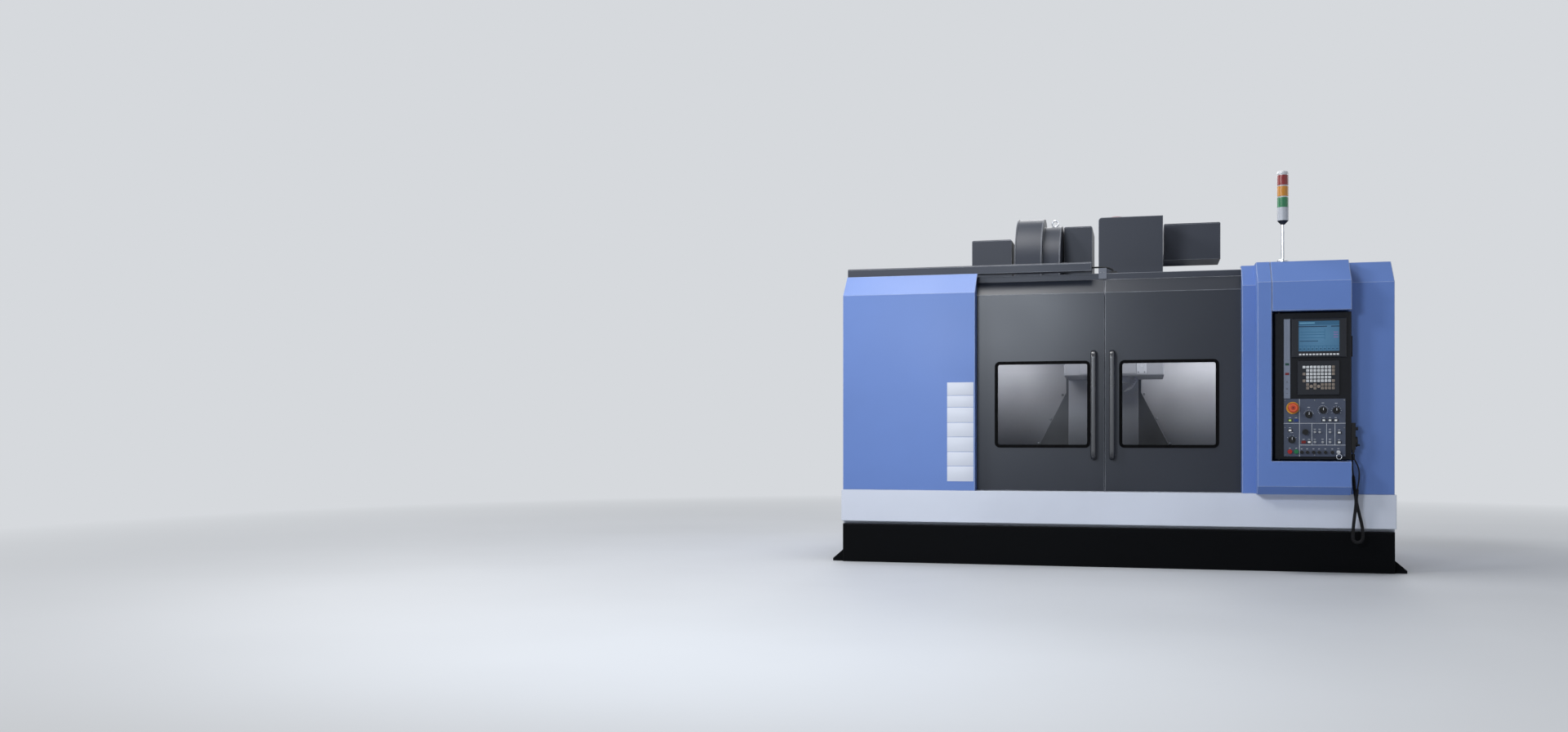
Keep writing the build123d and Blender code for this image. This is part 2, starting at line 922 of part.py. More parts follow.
# Keypad: letter and number keys, two side columns, two rows of entry keys and two round keys
keypad_x = housing_left + keypad_left + keypad_width / 2
keypad_z = housing_bottom + keypad_lift + keypad_height / 2
keypad_face = housing_face - keypad_proud
letter_rise = key_pitch + entry_gap / 2
entry_drop = (key_rows + 1) * key_pitch / 2 + entry_gap / 2 - letter_rise + key_pitch / 2
side_column = (key_columns + 1) / 2 * key_pitch
letter_top = keypad_z + letter_rise + (key_rows - 1) / 2 * key_pitch
entry_z = keypad_z - entry_drop
entry_left = keypad_x - (key_columns - 1) / 2 * key_pitch
entry_columns = [column for column in range(key_columns + 1) if column not in round_key_columns]
with BuildPart() as keypad:
    with BuildSketch(facing(housing_face)):
        with Locations((keypad_x, keypad_z)):
            Rectangle(keypad_width, keypad_height)
    extrude(amount=keypad_proud)
    chamfer(keypad.faces().sort_by(Axis.Y)[0].edges(), length=keypad_edge)
    with BuildSketch(facing(keypad_face)):
        with Locations((keypad_x, keypad_z + letter_rise)):
            with GridLocations(key_pitch, key_pitch, key_columns, key_rows):
                Rectangle(key_size, key_size)
        with Locations((keypad_x - side_column, keypad_z + letter_rise)):
            with GridLocations(0, 2 * key_pitch, 1, (key_rows + 1) // 2):
                Rectangle(key_size, key_size)
        with Locations(*[(keypad_x + side_column, letter_top - row * key_pitch) for row in right_key_rows]):
            Rectangle(key_size, key_size)
        with Locations(*[(entry_left + column * key_pitch, entry_z) for column in entry_columns]):
            with GridLocations(0, key_pitch, 1, 2):
                Rectangle(key_size, key_size)
        with Locations(*[(entry_left + column * key_pitch, entry_z) for column in round_key_columns]):
            Circle(round_key_radius)
    extrude(amount=key_proud)
keypad.part.label = "keypad"
export_step(keypad.part, "parts/keypad.step")

# Side strip: a grooved card cover over a plain lower field with two lamps
strip_x = housing_left + strip_left + strip_width / 2
strip_low = housing_bottom + strip_lift
strip_face = housing_face - strip_proud
cover_length = strip_cover_share * strip_height
cover_z = strip_low + strip_height - cover_length / 2
with BuildPart() as side_strip:
    with BuildSketch(facing(housing_face)):
        with Locations((strip_x, strip_low + strip_height / 2)):
            Rectangle(strip_width, strip_height)
    extrude(amount=strip_proud)
    with BuildSketch(facing(strip_face)):
        with Locations((strip_x, cover_z)):
            Rectangle(strip_width - 2 * strip_cover_inset, cover_length - 2 * strip_cover_inset)
    extrude(amount=strip_cover_proud)
    with BuildSketch(facing(strip_face - strip_cover_proud)):
        with Locations((strip_x, cover_z)):
            Rectangle(strip_groove_width, cover_length - 2 * strip_cover_inset)
    extrude(amount=-strip_groove_depth, mode=Mode.SUBTRACT)
    with BuildSketch(facing(strip_face)):
        with Locations(*[(strip_x, strip_low + share * strip_height) for share in strip_lamp_shares]):
            Rectangle(strip_lamp_width, strip_lamp_height)
    extrude(amount=strip_lamp_proud)
side_strip.part.label = "side_strip"
export_step(side_strip.part, "parts/side_strip.step")

# Operator plate with its fixed buttons, toggles and small knobs
plate_x = housing_left + plate_left + plate_width / 2
plate_z = housing_bottom + plate_lift + plate_height / 2
with BuildPart() as operator_plate:
    with BuildSketch(facing(housing_face)):
        with Locations((plate_x, plate_z)):
            Rectangle(plate_width, plate_height)
    extrude(amount=plate_proud)
    chamfer(operator_plate.faces().sort_by(Axis.Y)[0].edges(), length=plate_edge)
    with BuildSketch(facing(plate_face)):
        with Locations(*[on_plate(shares) for shares in push_shares]):
            Rectangle(push_width, push_height)
    extrude(amount=push_proud)
    with BuildSketch(facing(plate_face)):
        with Locations(*[on_plate(shares) for shares in toggle_shares]):
            Circle(toggle_radius)
    extrude(amount=toggle_height)
    with BuildSketch(facing(plate_face)):
        with Locations(*[on_plate(shares) for shares in small_knob_shares]):
            Circle(small_knob_radius)
    extrude(amount=small_knob_height)
    with BuildSketch(facing(plate_face)):
        with Locations(on_plate(axis_shares)):
            Circle(knob_radius)
    extrude(amount=knob_height)
    with BuildSketch(facing(plate_face)):
        with Locations(on_plate(estop_shares)):
            Circle(estop_collar)
    extrude(amount=estop_collar_height)
    with BuildSketch(facing(plate_face - estop_collar_height)):
        with Locations(on_plate(estop_shares)):
            Circle(estop_stem + button_clearance)
    extrude(amount=-estop_collar_height - plate_proud, mode=Mode.SUBTRACT)
    with BuildSketch(facing(plate_face)):
        with Locations(*pressed_spots):
            Circle(button_radius + button_clearance)
    extrude(amount=-plate_proud, mode=Mode.SUBTRACT)
operator_plate.part.label = "operator_plate"
export_step(operator_plate.part, "parts/operator_plate.step")

# Emergency stop: a mushroom head on a stem through the collar
estop_x, estop_z = on_plate(estop_shares)
with BuildPart() as estop_button:
    with BuildSketch(facing(housing_face)):
        with Locations((estop_x, estop_z)):
            Circle(estop_stem)
    extrude(amount=estop_reach)
    with BuildSketch(facing(housing_face - estop_reach)):
        with Locations((estop_x, estop_z)):
            Circle(estop_radius)
    extrude(amount=estop_cap)
    fillet(estop_button.faces().sort_by(Axis.Y)[0].edges(), radius=estop_crown)
estop_button.part.label = "estop_button"
export_step(estop_button.part, "parts/estop_button.step")


def selector_knob(shares):
    """Round skirt with a narrow raised grip."""
    knob_x, knob_z = on_plate(shares)
    with BuildPart() as knob:
        with BuildSketch(facing(plate_face - knob_gap)):
            with Locations((knob_x, knob_z)):
                Circle(knob_skirt)
        extrude(amount=knob_skirt_height)
        with BuildSketch(facing(plate_face - knob_gap - knob_skirt_height)):
            with Locations((knob_x, knob_z)):
                Circle(knob_radius)
                with Locations((knob_radius, 0), (-knob_radius, 0)):
                    Rectangle(2 * (knob_radius - knob_grip), 2 * knob_radius, mode=Mode.SUBTRACT)
        extrude(amount=knob_height - knob_skirt_height)
    return knob


mode_knob = selector_knob(mode_shares)
mode_knob.part.label = "mode_knob"
export_step(mode_knob.part, "parts/mode_knob.step")
feed_knob = selector_knob(feed_shares)
feed_knob.part.label = "feed_knob"
export_step(feed_knob.part, "parts/feed_knob.step")
spindle_knob = selector_knob(spindle_shares)
spindle_knob.part.label = "spindle_knob"
export_step(spindle_knob.part, "parts/spindle_knob.step")
rapid_knob = selector_knob(rapid_shares)
rapid_knob.part.label = "rapid_knob"
export_step(rapid_knob.part, "parts/rapid_knob.step")


def push_button(shares):
    """Round button with its shank in the plate and housing."""
    button_x, button_z = on_plate(shares)
    with BuildPart() as button:
        with BuildSketch(facing(plate_face - button_reach)):
            with Locations((button_x, button_z)):
                Circle(button_radius)
        extrude(amount=-button_reach - plate_proud - button_stem)
        chamfer(button.faces().sort_by(Axis.Y)[0].edges(), length=plate_edge)
    return button


stop_button = push_button(stop_shares)
stop_button.part.label = "stop_button"
export_step(stop_button.part, "parts/stop_button.step")
start_button = push_button(start_shares)
start_button.part.label = "start_button"
export_step(start_button.part, "parts/start_button.step")

# Key switch: barrel, key and hanging ring
key_x, key_z = on_plate(key_shares)
blade_y = plate_face - knob_gap - key_barrel_height
blade_tip = blade_y - key_blade_reach
with BuildPart() as key_switch:
    with BuildSketch(facing(plate_face - knob_gap)):
        with Locations((key_x, key_z)):
            Circle(key_barrel)
    extrude(amount=key_barrel_height)
    block(
        (key_x - key_blade_width / 2, blade_tip, key_z - key_blade_height / 2),
        (key_x + key_blade_width / 2, blade_y, key_z + key_blade_height / 2),
    )
    ring_y = blade_tip + key_ring_wire
    with Locations(Plane((key_x, ring_y, key_z - key_blade_height / 2 - key_ring), z_dir=(0, 1, 0))):
        Torus(key_ring, key_ring_wire)
key_switch.part.label = "key_switch"
export_step(key_switch.part, "parts/key_switch.step")

# Hand pendant with two dials and a lead gland below it
with BuildPart() as pendant:
    block(
        (housing_right, pendant_y - pendant_depth / 2, pendant_low),
        (pendant_face, pendant_y + pendant_depth / 2, pendant_low + pendant_height),
    )
    fillet(pendant.faces().sort_by(Axis.X)[-1].edges(), radius=pendant_edge)
    with BuildSketch(Plane.YZ.offset(pendant_face)):
        with Locations((pendant_y, pendant_low + dial_lift_share * pendant_height)):
            with GridLocations(2 * dial_spread_share * pendant_depth, 0, 2, 1):
                Circle(dial_radius)
    extrude(amount=dial_height)
    with BuildSketch(Plane.XY.offset(pendant_low)):
        with Locations((lead_x, tail_y)):
            Circle(gland_radius)
    extrude(amount=-gland_length)
pendant.part.label = "pendant"
export_step(pendant.part, "parts/pendant.step")

wheel_z = pendant_low + wheel_lift_share * pendant_height
with BuildPart() as pendant_wheel:
    with BuildSketch(Plane.YZ.offset(pendant_face + knob_gap)):
        with Locations((pendant_y, wheel_z)):
            Circle(wheel_radius)
    extrude(amount=wheel_height)
    with BuildSketch(Plane.YZ.offset(pendant_face + knob_gap + wheel_height)):
        with Locations((pendant_y, wheel_z - wheel_crank)):
            Circle(wheel_crank_radius)
    extrude(amount=wheel_crank_height)
pendant_wheel.part.label = "pendant_wheel"
export_step(pendant_wheel.part, "parts/pendant_wheel.step")

# Pendant lead: a thin tail, a curly loop drawn as one fat tube and a thin return to the socket
tail_points = (
    (lead_x, tail_y, pendant_low - gland_length), (lead_x, tail_y, 574), (1210, tail_y - 2, 545),
    (1220, tail_y - 4, 508), (1218, tail_y - 5, 464), (1212, tail_y - 5, 424),
)
loop_points = (
    (1212, tail_y - 5, 424), (1206, tail_y - 5, 384), (1204, tail_y - 5, 336), (1197, tail_y - 4, 280),
    (1192, tail_y - 2, 230), (1191, tail_y, 196), (1190, tail_y + 3, 170), (1204, tail_y + 8, 156),
    (1224, tail_y + 14, 156), (1238, tail_y + 19, 170), (1240, tail_y + 22, 196), (1237, tail_y + 24, 236),
    (1226, tail_y + 26, 286), (1213, tail_y + 28, 340), (1205, tail_y + 29, 396),
    (1199, tail_y + 29, 450), (1196, tail_y + 29, 492),
)
return_points = (
    (1196, tail_y + 29, 492), (lead_x, socket_y, 530), (lead_x, socket_y, housing_bottom),
)
corner_share = 0.45


def bend_radii(points):
    """Largest bend at each corner that its two runs leave room for."""
    radii = []
    for before, corner, after in zip(points, points[1:], points[2:]):
        first = Vector(*corner) - Vector(*before)
        second = Vector(*after) - Vector(*corner)
        half_turn = math.radians(first.get_angle(second)) / 2
        radii.append(corner_share * min(first.length, second.length) / math.tan(half_turn))
    return radii


def tube(points, radius):
    """Round tube along straight runs joined by tangent bends."""
    with BuildLine() as route:
        FilletPolyline(*[Vector(*point) for point in points], radius=bend_radii(points))
    wire = route.wires()[0]
    with BuildSketch(Plane(wire @ 0, z_dir=wire % 0)) as section:
        Circle(radius)
    sweep(section.sketch, path=wire)
    print("tube radii", [round(value) for value in bend_radii(points)], "length", round(wire.length))


with BuildPart() as pendant_cord:
    tube(tail_points, cord_radius)
    tube(loop_points, curl_radius)
    tube(return_points, cord_radius)
pendant_cord.part.label = "pendant_cord"
export_step(pendant_cord.part, "parts/pendant_cord.step")

# Tower lamp: flanged pole, body with a cap post, and three lenses
lamp_x = box_left + lamp_left
lamp_y = front_y + lamp_setback
pole_top = panel_top + lamp_flange_height + lamp_pole_length
cone_top = pole_top + lamp_cone_height
body_top = cone_top + lamp_body_height
lens_pitch = lamp_lens_height + lamp_ring_height
lens_count = 3
stack_top = body_top + lens_count * lens_pitch
with BuildPart() as lamp_pole:
    with BuildSketch(Plane.XZ.offset(-lamp_y)):
        with BuildLine():
            Polyline(
                (lamp_x, panel_top), (lamp_x + lamp_flange_radius, panel_top),
                (lamp_x + lamp_flange_radius, panel_top + lamp_flange_height / 2),
                (lamp_x + lamp_pole_radius, panel_top + lamp_flange_height),
                (lamp_x + lamp_pole_radius, pole_top), (lamp_x, pole_top),
                close=True,
            )
        make_face()
    revolve(axis=Axis((lamp_x, lamp_y, 0), (0, 0, 1)))
lamp_pole.part.label = "lamp_pole"
export_step(lamp_pole.part, "parts/lamp_pole.step")

with BuildPart() as lamp_body:
    with BuildSketch(Plane.XZ.offset(-lamp_y)):
        with BuildLine():
            Polyline(
                (lamp_x, pole_top), (lamp_x + lamp_pole_radius, pole_top), (lamp_x + lamp_radius, cone_top),
                (lamp_x + lamp_radius, body_top), (lamp_x, body_top),
                close=True,
            )
        make_face()
    revolve(axis=Axis((lamp_x, lamp_y, 0), (0, 0, 1)))
lamp_body.part.label = "lamp_body"
export_step(lamp_body.part, "parts/lamp_body.step")

with BuildPart() as lamp_lenses:
    for tier in range(lens_count):
        with Locations((lamp_x, lamp_y, body_top + tier * lens_pitch)):
            Cylinder(lamp_radius, lamp_lens_height, align=(Align.CENTER, Align.CENTER, Align.MIN))
        with Locations((lamp_x, lamp_y, body_top + tier * lens_pitch + lamp_lens_height)):
            Cylinder(
                lamp_radius - lamp_ring_inset, lamp_ring_height, align=(Align.CENTER, Align.CENTER, Align.MIN)
            )
    with Locations((lamp_x, lamp_y, stack_top)):
        Cylinder(lamp_radius, lamp_cap_height, align=(Align.CENTER, Align.CENTER, Align.MIN))
    fillet(lamp_lenses.faces().sort_by(Axis.Z)[-1].edges(), radius=lamp_cap_round)
lamp_lenses.part.label = "lamp_lenses"
export_step(lamp_lenses.part, "parts/lamp_lenses.step")

# Duct along the left of the roof edge
duct_front = band_y + duct_setback
with BuildPart() as rail_cover:
    block(
        (-panel_half, duct_front, panel_top),
        (duct_right, duct_front + duct_depth, panel_top + duct_height),
    )
    chamfer(rail_cover.faces().sort_by(Axis.Z)[-1].edges().filter_by(Axis.X), length=cover_edge)
rail_cover.part.label = "rail_cover"
export_step(rail_cover.part, "parts/rail_cover.step")

# Door interlock switch and its latch plate on the header rail, with two leads looped to the duct
switch_front = track_front + (track_depth - switch_depth) / 2
duct_middle = panel_top + duct_height / 2
switch_top = roof_top + switch_height
switch_x = duct_right + lead_reach
lead_drop = duct_middle - switch_top
latch_left = duct_right + latch_offset
latch_right = latch_left + latch_width
latch_top = roof_top + latch_height
with BuildPart() as interlock_switch:
    block(
        (switch_x - switch_width / 2, switch_front, roof_top),
        (switch_x + switch_width / 2, switch_front + switch_depth, switch_top),
    )
    block((latch_left, track_front, roof_top), (latch_right, switch_front + switch_depth, latch_top))
    block(
        (latch_left, track_front - latch_plate, roof_top - latch_drop),
        (latch_right, track_front, latch_top),
    )
    block(
        (latch_right, switch_front, roof_top),
        (switch_x, switch_front + switch_depth, roof_top + latch_plate),
    )
    for side in (-1, 1):
        lead_y = switch_front + switch_depth / 2 + side * lead_pitch
        lead_points = [
            (duct_right + along * lead_reach, lead_y, duct_middle - down * lead_drop)
            for along, down in lead_shares
        ]
        tube(lead_points, lead_radius)
interlock_switch.part.label = "interlock_switch"
export_step(interlock_switch.part, "parts/interlock_switch.step")

# Tool magazine: stepped drum cover open below, on an arm from the column
drum_y = band_y + drum_centre_y
with BuildPart() as magazine_cover:
    with BuildSketch(Plane.YZ.offset(drum_left)):
        with Locations((drum_y, drum_centre_z)):
            Circle(drum_radius)
    extrude(amount=drum_step - drum_left)
    with BuildSketch(Plane.YZ.offset(drum_step)):
        with Locations((drum_y, drum_centre_z)):
            Circle(drum_radius - drum_shoulder)
    extrude(amount=drum_right - drum_step)
    block(
        (drum_step, column_y + drum_wall, column_top - drum_arm_drop - drum_arm_height),
        (column_left, column_y + drum_wall + drum_arm_depth, column_top - drum_arm_drop),
    )
    with BuildSketch(Plane.YZ.offset(drum_left + drum_wall)):
        with Locations((drum_y, drum_centre_z)):
            Circle(drum_radius - drum_wall)
    extrude(amount=drum_step - drum_left - 2 * drum_wall, mode=Mode.SUBTRACT)
    block(
        (drum_left + drum_wall, drum_y - drum_mouth / 2, drum_centre_z - drum_radius - overrun),
        (drum_step - drum_wall, drum_y + drum_mouth / 2, drum_centre_z),
        mode=Mode.SUBTRACT,
    )
magazine_cover.part.label = "magazine_cover"
export_step(magazine_cover.part, "parts/magazine_cover.step")

# Magazine disc with a ring of tool pots on a shaft in the cover
with BuildPart() as magazine_disc:
    with BuildSketch(Plane.YZ.offset(disc_left)):
        with Locations((drum_y, drum_centre_z)):
            Circle(disc_radius)
    extrude(amount=disc_thickness)
    with BuildSketch(Plane.YZ.offset(disc_left)):
        with Locations((drum_y, drum_centre_z)):
            with PolarLocations(pot_ring_radius, pot_count):
                Circle(pot_radius)
    extrude(amount=disc_thickness / 2 + pot_length / 2)
    with BuildSketch(Plane.YZ.offset(drum_left + drum_wall + running_gap)):
        with Locations((drum_y, drum_centre_z)):
            Circle(disc_shaft)
    extrude(amount=disc_left - drum_left - drum_wall - running_gap)
magazine_disc.part.label = "magazine_disc"
export_step(magazine_disc.part, "parts/magazine_disc.step")

# Sheet boxes behind the roof edge
top_front = band_y + top_box_front
with BuildPart() as left_rear_box:
    block(
        (left_box_left, top_front, roof_top),
        (left_box_left + left_box_width, top_front + top_box_depth, left_box_top),
    )
    chamfer(left_rear_box.faces().sort_by(Axis.Z)[-1].edges(), length=cover_edge)
left_rear_box.part.label = "left_rear_box"
export_step(left_rear_box.part, "parts/left_rear_box.step")

changer_back = column_y + bracket_back + bracket_depth
changer_outline = (
    (top_front, column_top + changer_lift), (top_front, changer_top), (changer_back, changer_top),
    (changer_back, column_top), (column_y + bracket_back / 2, column_top),
    (column_y + bracket_back / 2, column_top + changer_lift),
)
with BuildPart() as changer_cover:
    side_run(changer_outline, changer_left, changer_left + changer_width)
    chamfer(changer_cover.faces().sort_by(Axis.Z)[-1].edges(), length=cover_edge)
changer_cover.part.label = "changer_cover"
export_step(changer_cover.part, "parts/changer_cover.step")

# Right box on a cranked bracket from the column top
bracket_front = column_y + bracket_back
with BuildPart() as right_rear_box:
    block(
        (right_box_left, band_y + right_box_front, right_box_bottom),
        (right_box_left + right_box_width, band_y + right_box_front + right_box_depth, right_box_top),
    )
    chamfer(right_rear_box.faces().sort_by(Axis.Z)[-1].edges(), length=cover_edge)
    bracket = (
        (column_right - bracket_width, column_top), (column_right, column_top),
        (column_right, right_box_bottom),
        (right_box_left, right_box_bottom), (right_box_left, right_box_bottom + bracket_height),
        (column_right - bracket_width, right_box_bottom + bracket_height),
    )
    front_run(bracket, bracket_front, bracket_front + bracket_depth)
right_rear_box.part.label = "right_rear_box"
export_step(right_rear_box.part, "parts/right_rear_box.step")

# Lifting eye on the drum's shoulder
shoulder_top = drum_centre_z + drum_radius - drum_shoulder
with BuildPart() as lifting_eye:
    with Locations((eye_left, drum_y, shoulder_top)):
        Cylinder(eye_stem, eye_stem_height, align=(Align.CENTER, Align.CENTER, Align.MIN))
    with Locations(Plane((eye_left, drum_y, shoulder_top + eye_stem_height + eye_ring), z_dir=(0, 1, 0))):
        Torus(eye_ring, eye_wire)
lifting_eye.part.label = "lifting_eye"
export_step(lifting_eye.part, "parts/lifting_eye.step")

# Bed with two ways along Y
with BuildPart() as bed:
    block((-bed_half, band_y + bed_front, plinth_height), (bed_half, column_back, bed_top))
    with Locations((0, 0, bed_top)):
        for side in (-1, 1):
            block(
                (side * way_offset - way_width / 2, band_y + bed_front, 0),
                (side * way_offset + way_width / 2, guard_front - running_gap, way_height),
            )
bed.part.label = "bed"
export_step(bed.part, "parts/bed.step")

# Saddle gripping the bed ways, with two cross ways along X
saddle_front = table_line - saddle_depth / 2
with BuildPart() as saddle:
    block((-saddle_half, saddle_front, saddle_bottom), (saddle_half, saddle_front + saddle_depth, saddle_top))
    for side in (-1, 1):
        block(
            (side * way_offset - way_width / 2 - running_gap, saddle_front - overrun,
             saddle_bottom - overrun),
            (side * way_offset + way_width / 2 + running_gap, saddle_front + saddle_depth + overrun,
             way_top + running_gap),
            mode=Mode.SUBTRACT,
        )
        cross_y = table_line + side * cross_way_offset
        block(
            (-saddle_half, cross_y - cross_way_width / 2, saddle_top),
            (saddle_half, cross_y + cross_way_width / 2, cross_way_top),
        )
saddle.part.label = "saddle"
export_step(saddle.part, "parts/saddle.step")

# Table with T-slots along X, gripping the cross ways
table_half = table_length / 2
slot_neck_z = table_top - slot_neck
with BuildPart() as table:
    block(
        (-table_half, table_line - table_width / 2, table_bottom),
        (table_half, table_line + table_width / 2, table_top),
    )
    for side in (-1, 1):
        cross_y = table_line + side * cross_way_offset
        block(
            (-table_half - overrun, cross_y - cross_way_width / 2 - running_gap, table_bottom - overrun),
            (table_half + overrun, cross_y + cross_way_width / 2 + running_gap, cross_way_top + running_gap),
            mode=Mode.SUBTRACT,
        )
    for index in range(slot_count):
        slot_y = table_line + (index - (slot_count - 1) / 2) * slot_pitch
        slot_outline = (
            (slot_y - slot_width / 2, table_top + overrun), (slot_y + slot_width / 2, table_top + overrun),
            (slot_y + slot_width / 2, slot_neck_z), (slot_y + slot_foot_width / 2, slot_neck_z),
            (slot_y + slot_foot_width / 2, slot_neck_z - slot_foot),
            (slot_y - slot_foot_width / 2, slot_neck_z - slot_foot),
            (slot_y - slot_foot_width / 2, slot_neck_z), (slot_y - slot_width / 2, slot_neck_z),
        )
        side_run(slot_outline, -table_half - overrun, table_half + overrun, mode=Mode.SUBTRACT)
table.part.label = "table"
export_step(table.part, "parts/table.step")

# Column with a flared foot, and the light guard down its front
column_outline = (
    (column_left, column_top), (column_right, column_top), (column_right, column_flare_z),
    (column_right + flare, bed_top), (column_left - flare, bed_top), (column_left, column_flare_z),
)
with BuildPart() as column:
    front_run(column_outline, column_y, column_back)
column.part.label = "column"
export_step(column.part, "parts/column.step")

with BuildPart() as column_guard:
    block(
        (column_left + guard_inset, guard_front, bed_top),
        (column_right - guard_inset, column_y, column_top),
    )
column_guard.part.label = "column_guard"
export_step(column_guard.part, "parts/column_guard.step")

# Head with a front cover, its quill, two jointed coolant hoses and a bore for the spindle
head_y = band_y + head_front
cover_side = head_left + front_cover_left
link_length = hose_bend * math.radians(hose_sweep) / hose_links + hose_overlap
with BuildPart() as head:
    block((head_left, head_y, head_bottom), (head_right, head_back, column_top))
    chamfer(head.faces().sort_by(Axis.Y)[0].edges(), length=head_edge)
    block(
        (cover_side, head_y - front_cover_proud, head_bottom + front_cover_lift),
        (cover_side + front_cover_width, head_y, column_top - front_cover_lift),
    )
    with BuildSketch(Plane.XY.offset(head_bottom)):
        with Locations((head_x, spindle_line)):
            Circle(quill_radius)
    extrude(amount=-quill_length)
    for side in (-1, 1):
        for link in range(hose_links + 1):
            turn = math.radians(hose_sweep * link / hose_links)
            link_x = head_x + side * (hose_offset - hose_bend + hose_bend * math.cos(turn))
            link_z = head_bottom - hose_bend * math.sin(turn)
            ahead = (-side * math.sin(turn), 0, -math.cos(turn))
            tip = hose_neck if link < hose_links else nozzle_tip
            length = link_length if link < hose_links else nozzle_length
            with Locations(Plane((link_x, spindle_line, link_z), z_dir=ahead)):
                Cone(hose_radius, tip, length, align=(Align.CENTER, Align.CENTER, Align.MIN))
    with BuildSketch(Plane.XY.offset(head_bottom - quill_length)):
        with Locations((head_x, spindle_line)):
            Circle(spindle_shaft + knob_gap)
    extrude(amount=spindle_shaft_length + knob_gap, mode=Mode.SUBTRACT)
head.part.label = "head"
export_step(head.part, "parts/head.step")

# Head cover with a round shoulder and a cap
with BuildPart() as head_cover:
    block((cover_left, head_y, column_top), (cover_left + cover_width, head_y + cover_depth, cover_top))
    fillet(
        head_cover.edges().filter_by(Axis.Y).group_by(Axis.Z)[-1].sort_by(Axis.X)[0], radius=cover_round
    )
    with Locations((cover_left + cap_inset, head_y + cap_setback, cover_top)):
        Cylinder(cap_radius, cap_height, align=(Align.CENTER, Align.CENTER, Align.MIN))
head_cover.part.label = "head_cover"
export_step(head_cover.part, "parts/head_cover.step")

# Spindle: shaft, nose, taper bore and two drive keys
nose_top = head_bottom - quill_length - knob_gap
nose_face = nose_top - spindle_length
bore_top = taper_radius - taper_depth * taper_share / 2
with BuildPart() as spindle:
    with BuildSketch(Plane.XZ.offset(-spindle_line)):
        with BuildLine():
            Polyline(
                (head_x + bore_top, nose_face + taper_depth), (head_x + taper_radius, nose_face),
                (head_x + spindle_radius, nose_face), (head_x + spindle_radius, nose_top),
                (head_x + spindle_shaft, nose_top), (head_x + spindle_shaft, nose_top + spindle_shaft_length),
                (head_x, nose_top + spindle_shaft_length), (head_x, nose_face + taper_depth),
                close=True,
            )
        make_face()
    revolve(axis=Axis((head_x, spindle_line, 0), (0, 0, 1)))
    for side in (-1, 1):
        key_line = head_x + side * (taper_radius + spindle_radius) / 2
        block(
            (key_line - drive_key_width / 2, spindle_line - drive_key_depth / 2,
             nose_face - drive_key_height),
            (key_line + drive_key_width / 2, spindle_line + drive_key_depth / 2, nose_face),
        )
spindle.part.label = "spindle"
export_step(spindle.part, "parts/spindle.step")

# Electrical cabinet hung on the rear wall, its hinged door and the main switch
with BuildPart() as electrical_cabinet:
    block((-cabinet_half, enclosure_back, cabinet_lift), (cabinet_half, cabinet_back, cabinet_top))
electrical_cabinet.part.label = "electrical_cabinet"
export_step(electrical_cabinet.part, "parts/electrical_cabinet.step")

leaf_low = cabinet_lift + leaf_margin
leaf_high = cabinet_top - leaf_margin
leaf_half = cabinet_half - leaf_margin
with BuildPart() as cabinet_door:
    block((-leaf_half, leaf_front, leaf_low), (leaf_half, leaf_back, leaf_high))
    chamfer(cabinet_door.faces().sort_by(Axis.Y)[-1].edges(), length=leaf_edge)
    for hinge_z in (leaf_low + hinge_inset, leaf_high - hinge_inset):
        with Locations((-leaf_half, leaf_back, hinge_z)):
            Cylinder(hinge_radius, hinge_knuckle)
    louvre_top = leaf_low + leaf_louvre_share * (leaf_high - leaf_low)
    louvres(leaf_back, 0, louvre_top, louvre_length_share * leaf_half)
    with Locations((leaf_half - lever_inset, leaf_back, (leaf_low + leaf_high) / 2)):
        Box(
            lever_plate_width, lever_plate_depth, lever_plate_height,
            align=(Align.CENTER, Align.MIN, Align.CENTER),
        )
        with Locations((0, lever_plate_depth, 0)):
            Box(lever_width, lever_depth, lever_height, align=(Align.CENTER, Align.MIN, Align.CENTER))
    chamfer(cabinet_door.faces().sort_by(Axis.Y)[-1].edges(), length=lever_edge)
cabinet_door.part.label = "cabinet_door"
export_step(cabinet_door.part, "parts/cabinet_door.step")

dial_x = leaf_half - switch_side_share * leaf_half
dial_z = leaf_low + switch_lift_share * (leaf_high - leaf_low)
dial_back = leaf_back + knob_gap
with BuildPart() as main_switch:
    with BuildSketch(facing(dial_back)):
        with Locations((dial_x, dial_z)):
            Circle(switch_dial_radius)
    extrude(amount=-switch_dial_height)
    block(
        (dial_x - switch_grip_width / 2, dial_back + switch_dial_height, dial_z - switch_dial_radius),
        (dial_x + switch_grip_width / 2, rear_y, dial_z + switch_dial_radius),
    )
main_switch.part.label = "main_switch"
export_step(main_switch.part, "parts/main_switch.step")
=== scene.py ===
"""Looks of a vertical machining centre: finishes, fittings, the pendant's curly lead, light and camera."""

import json
import math

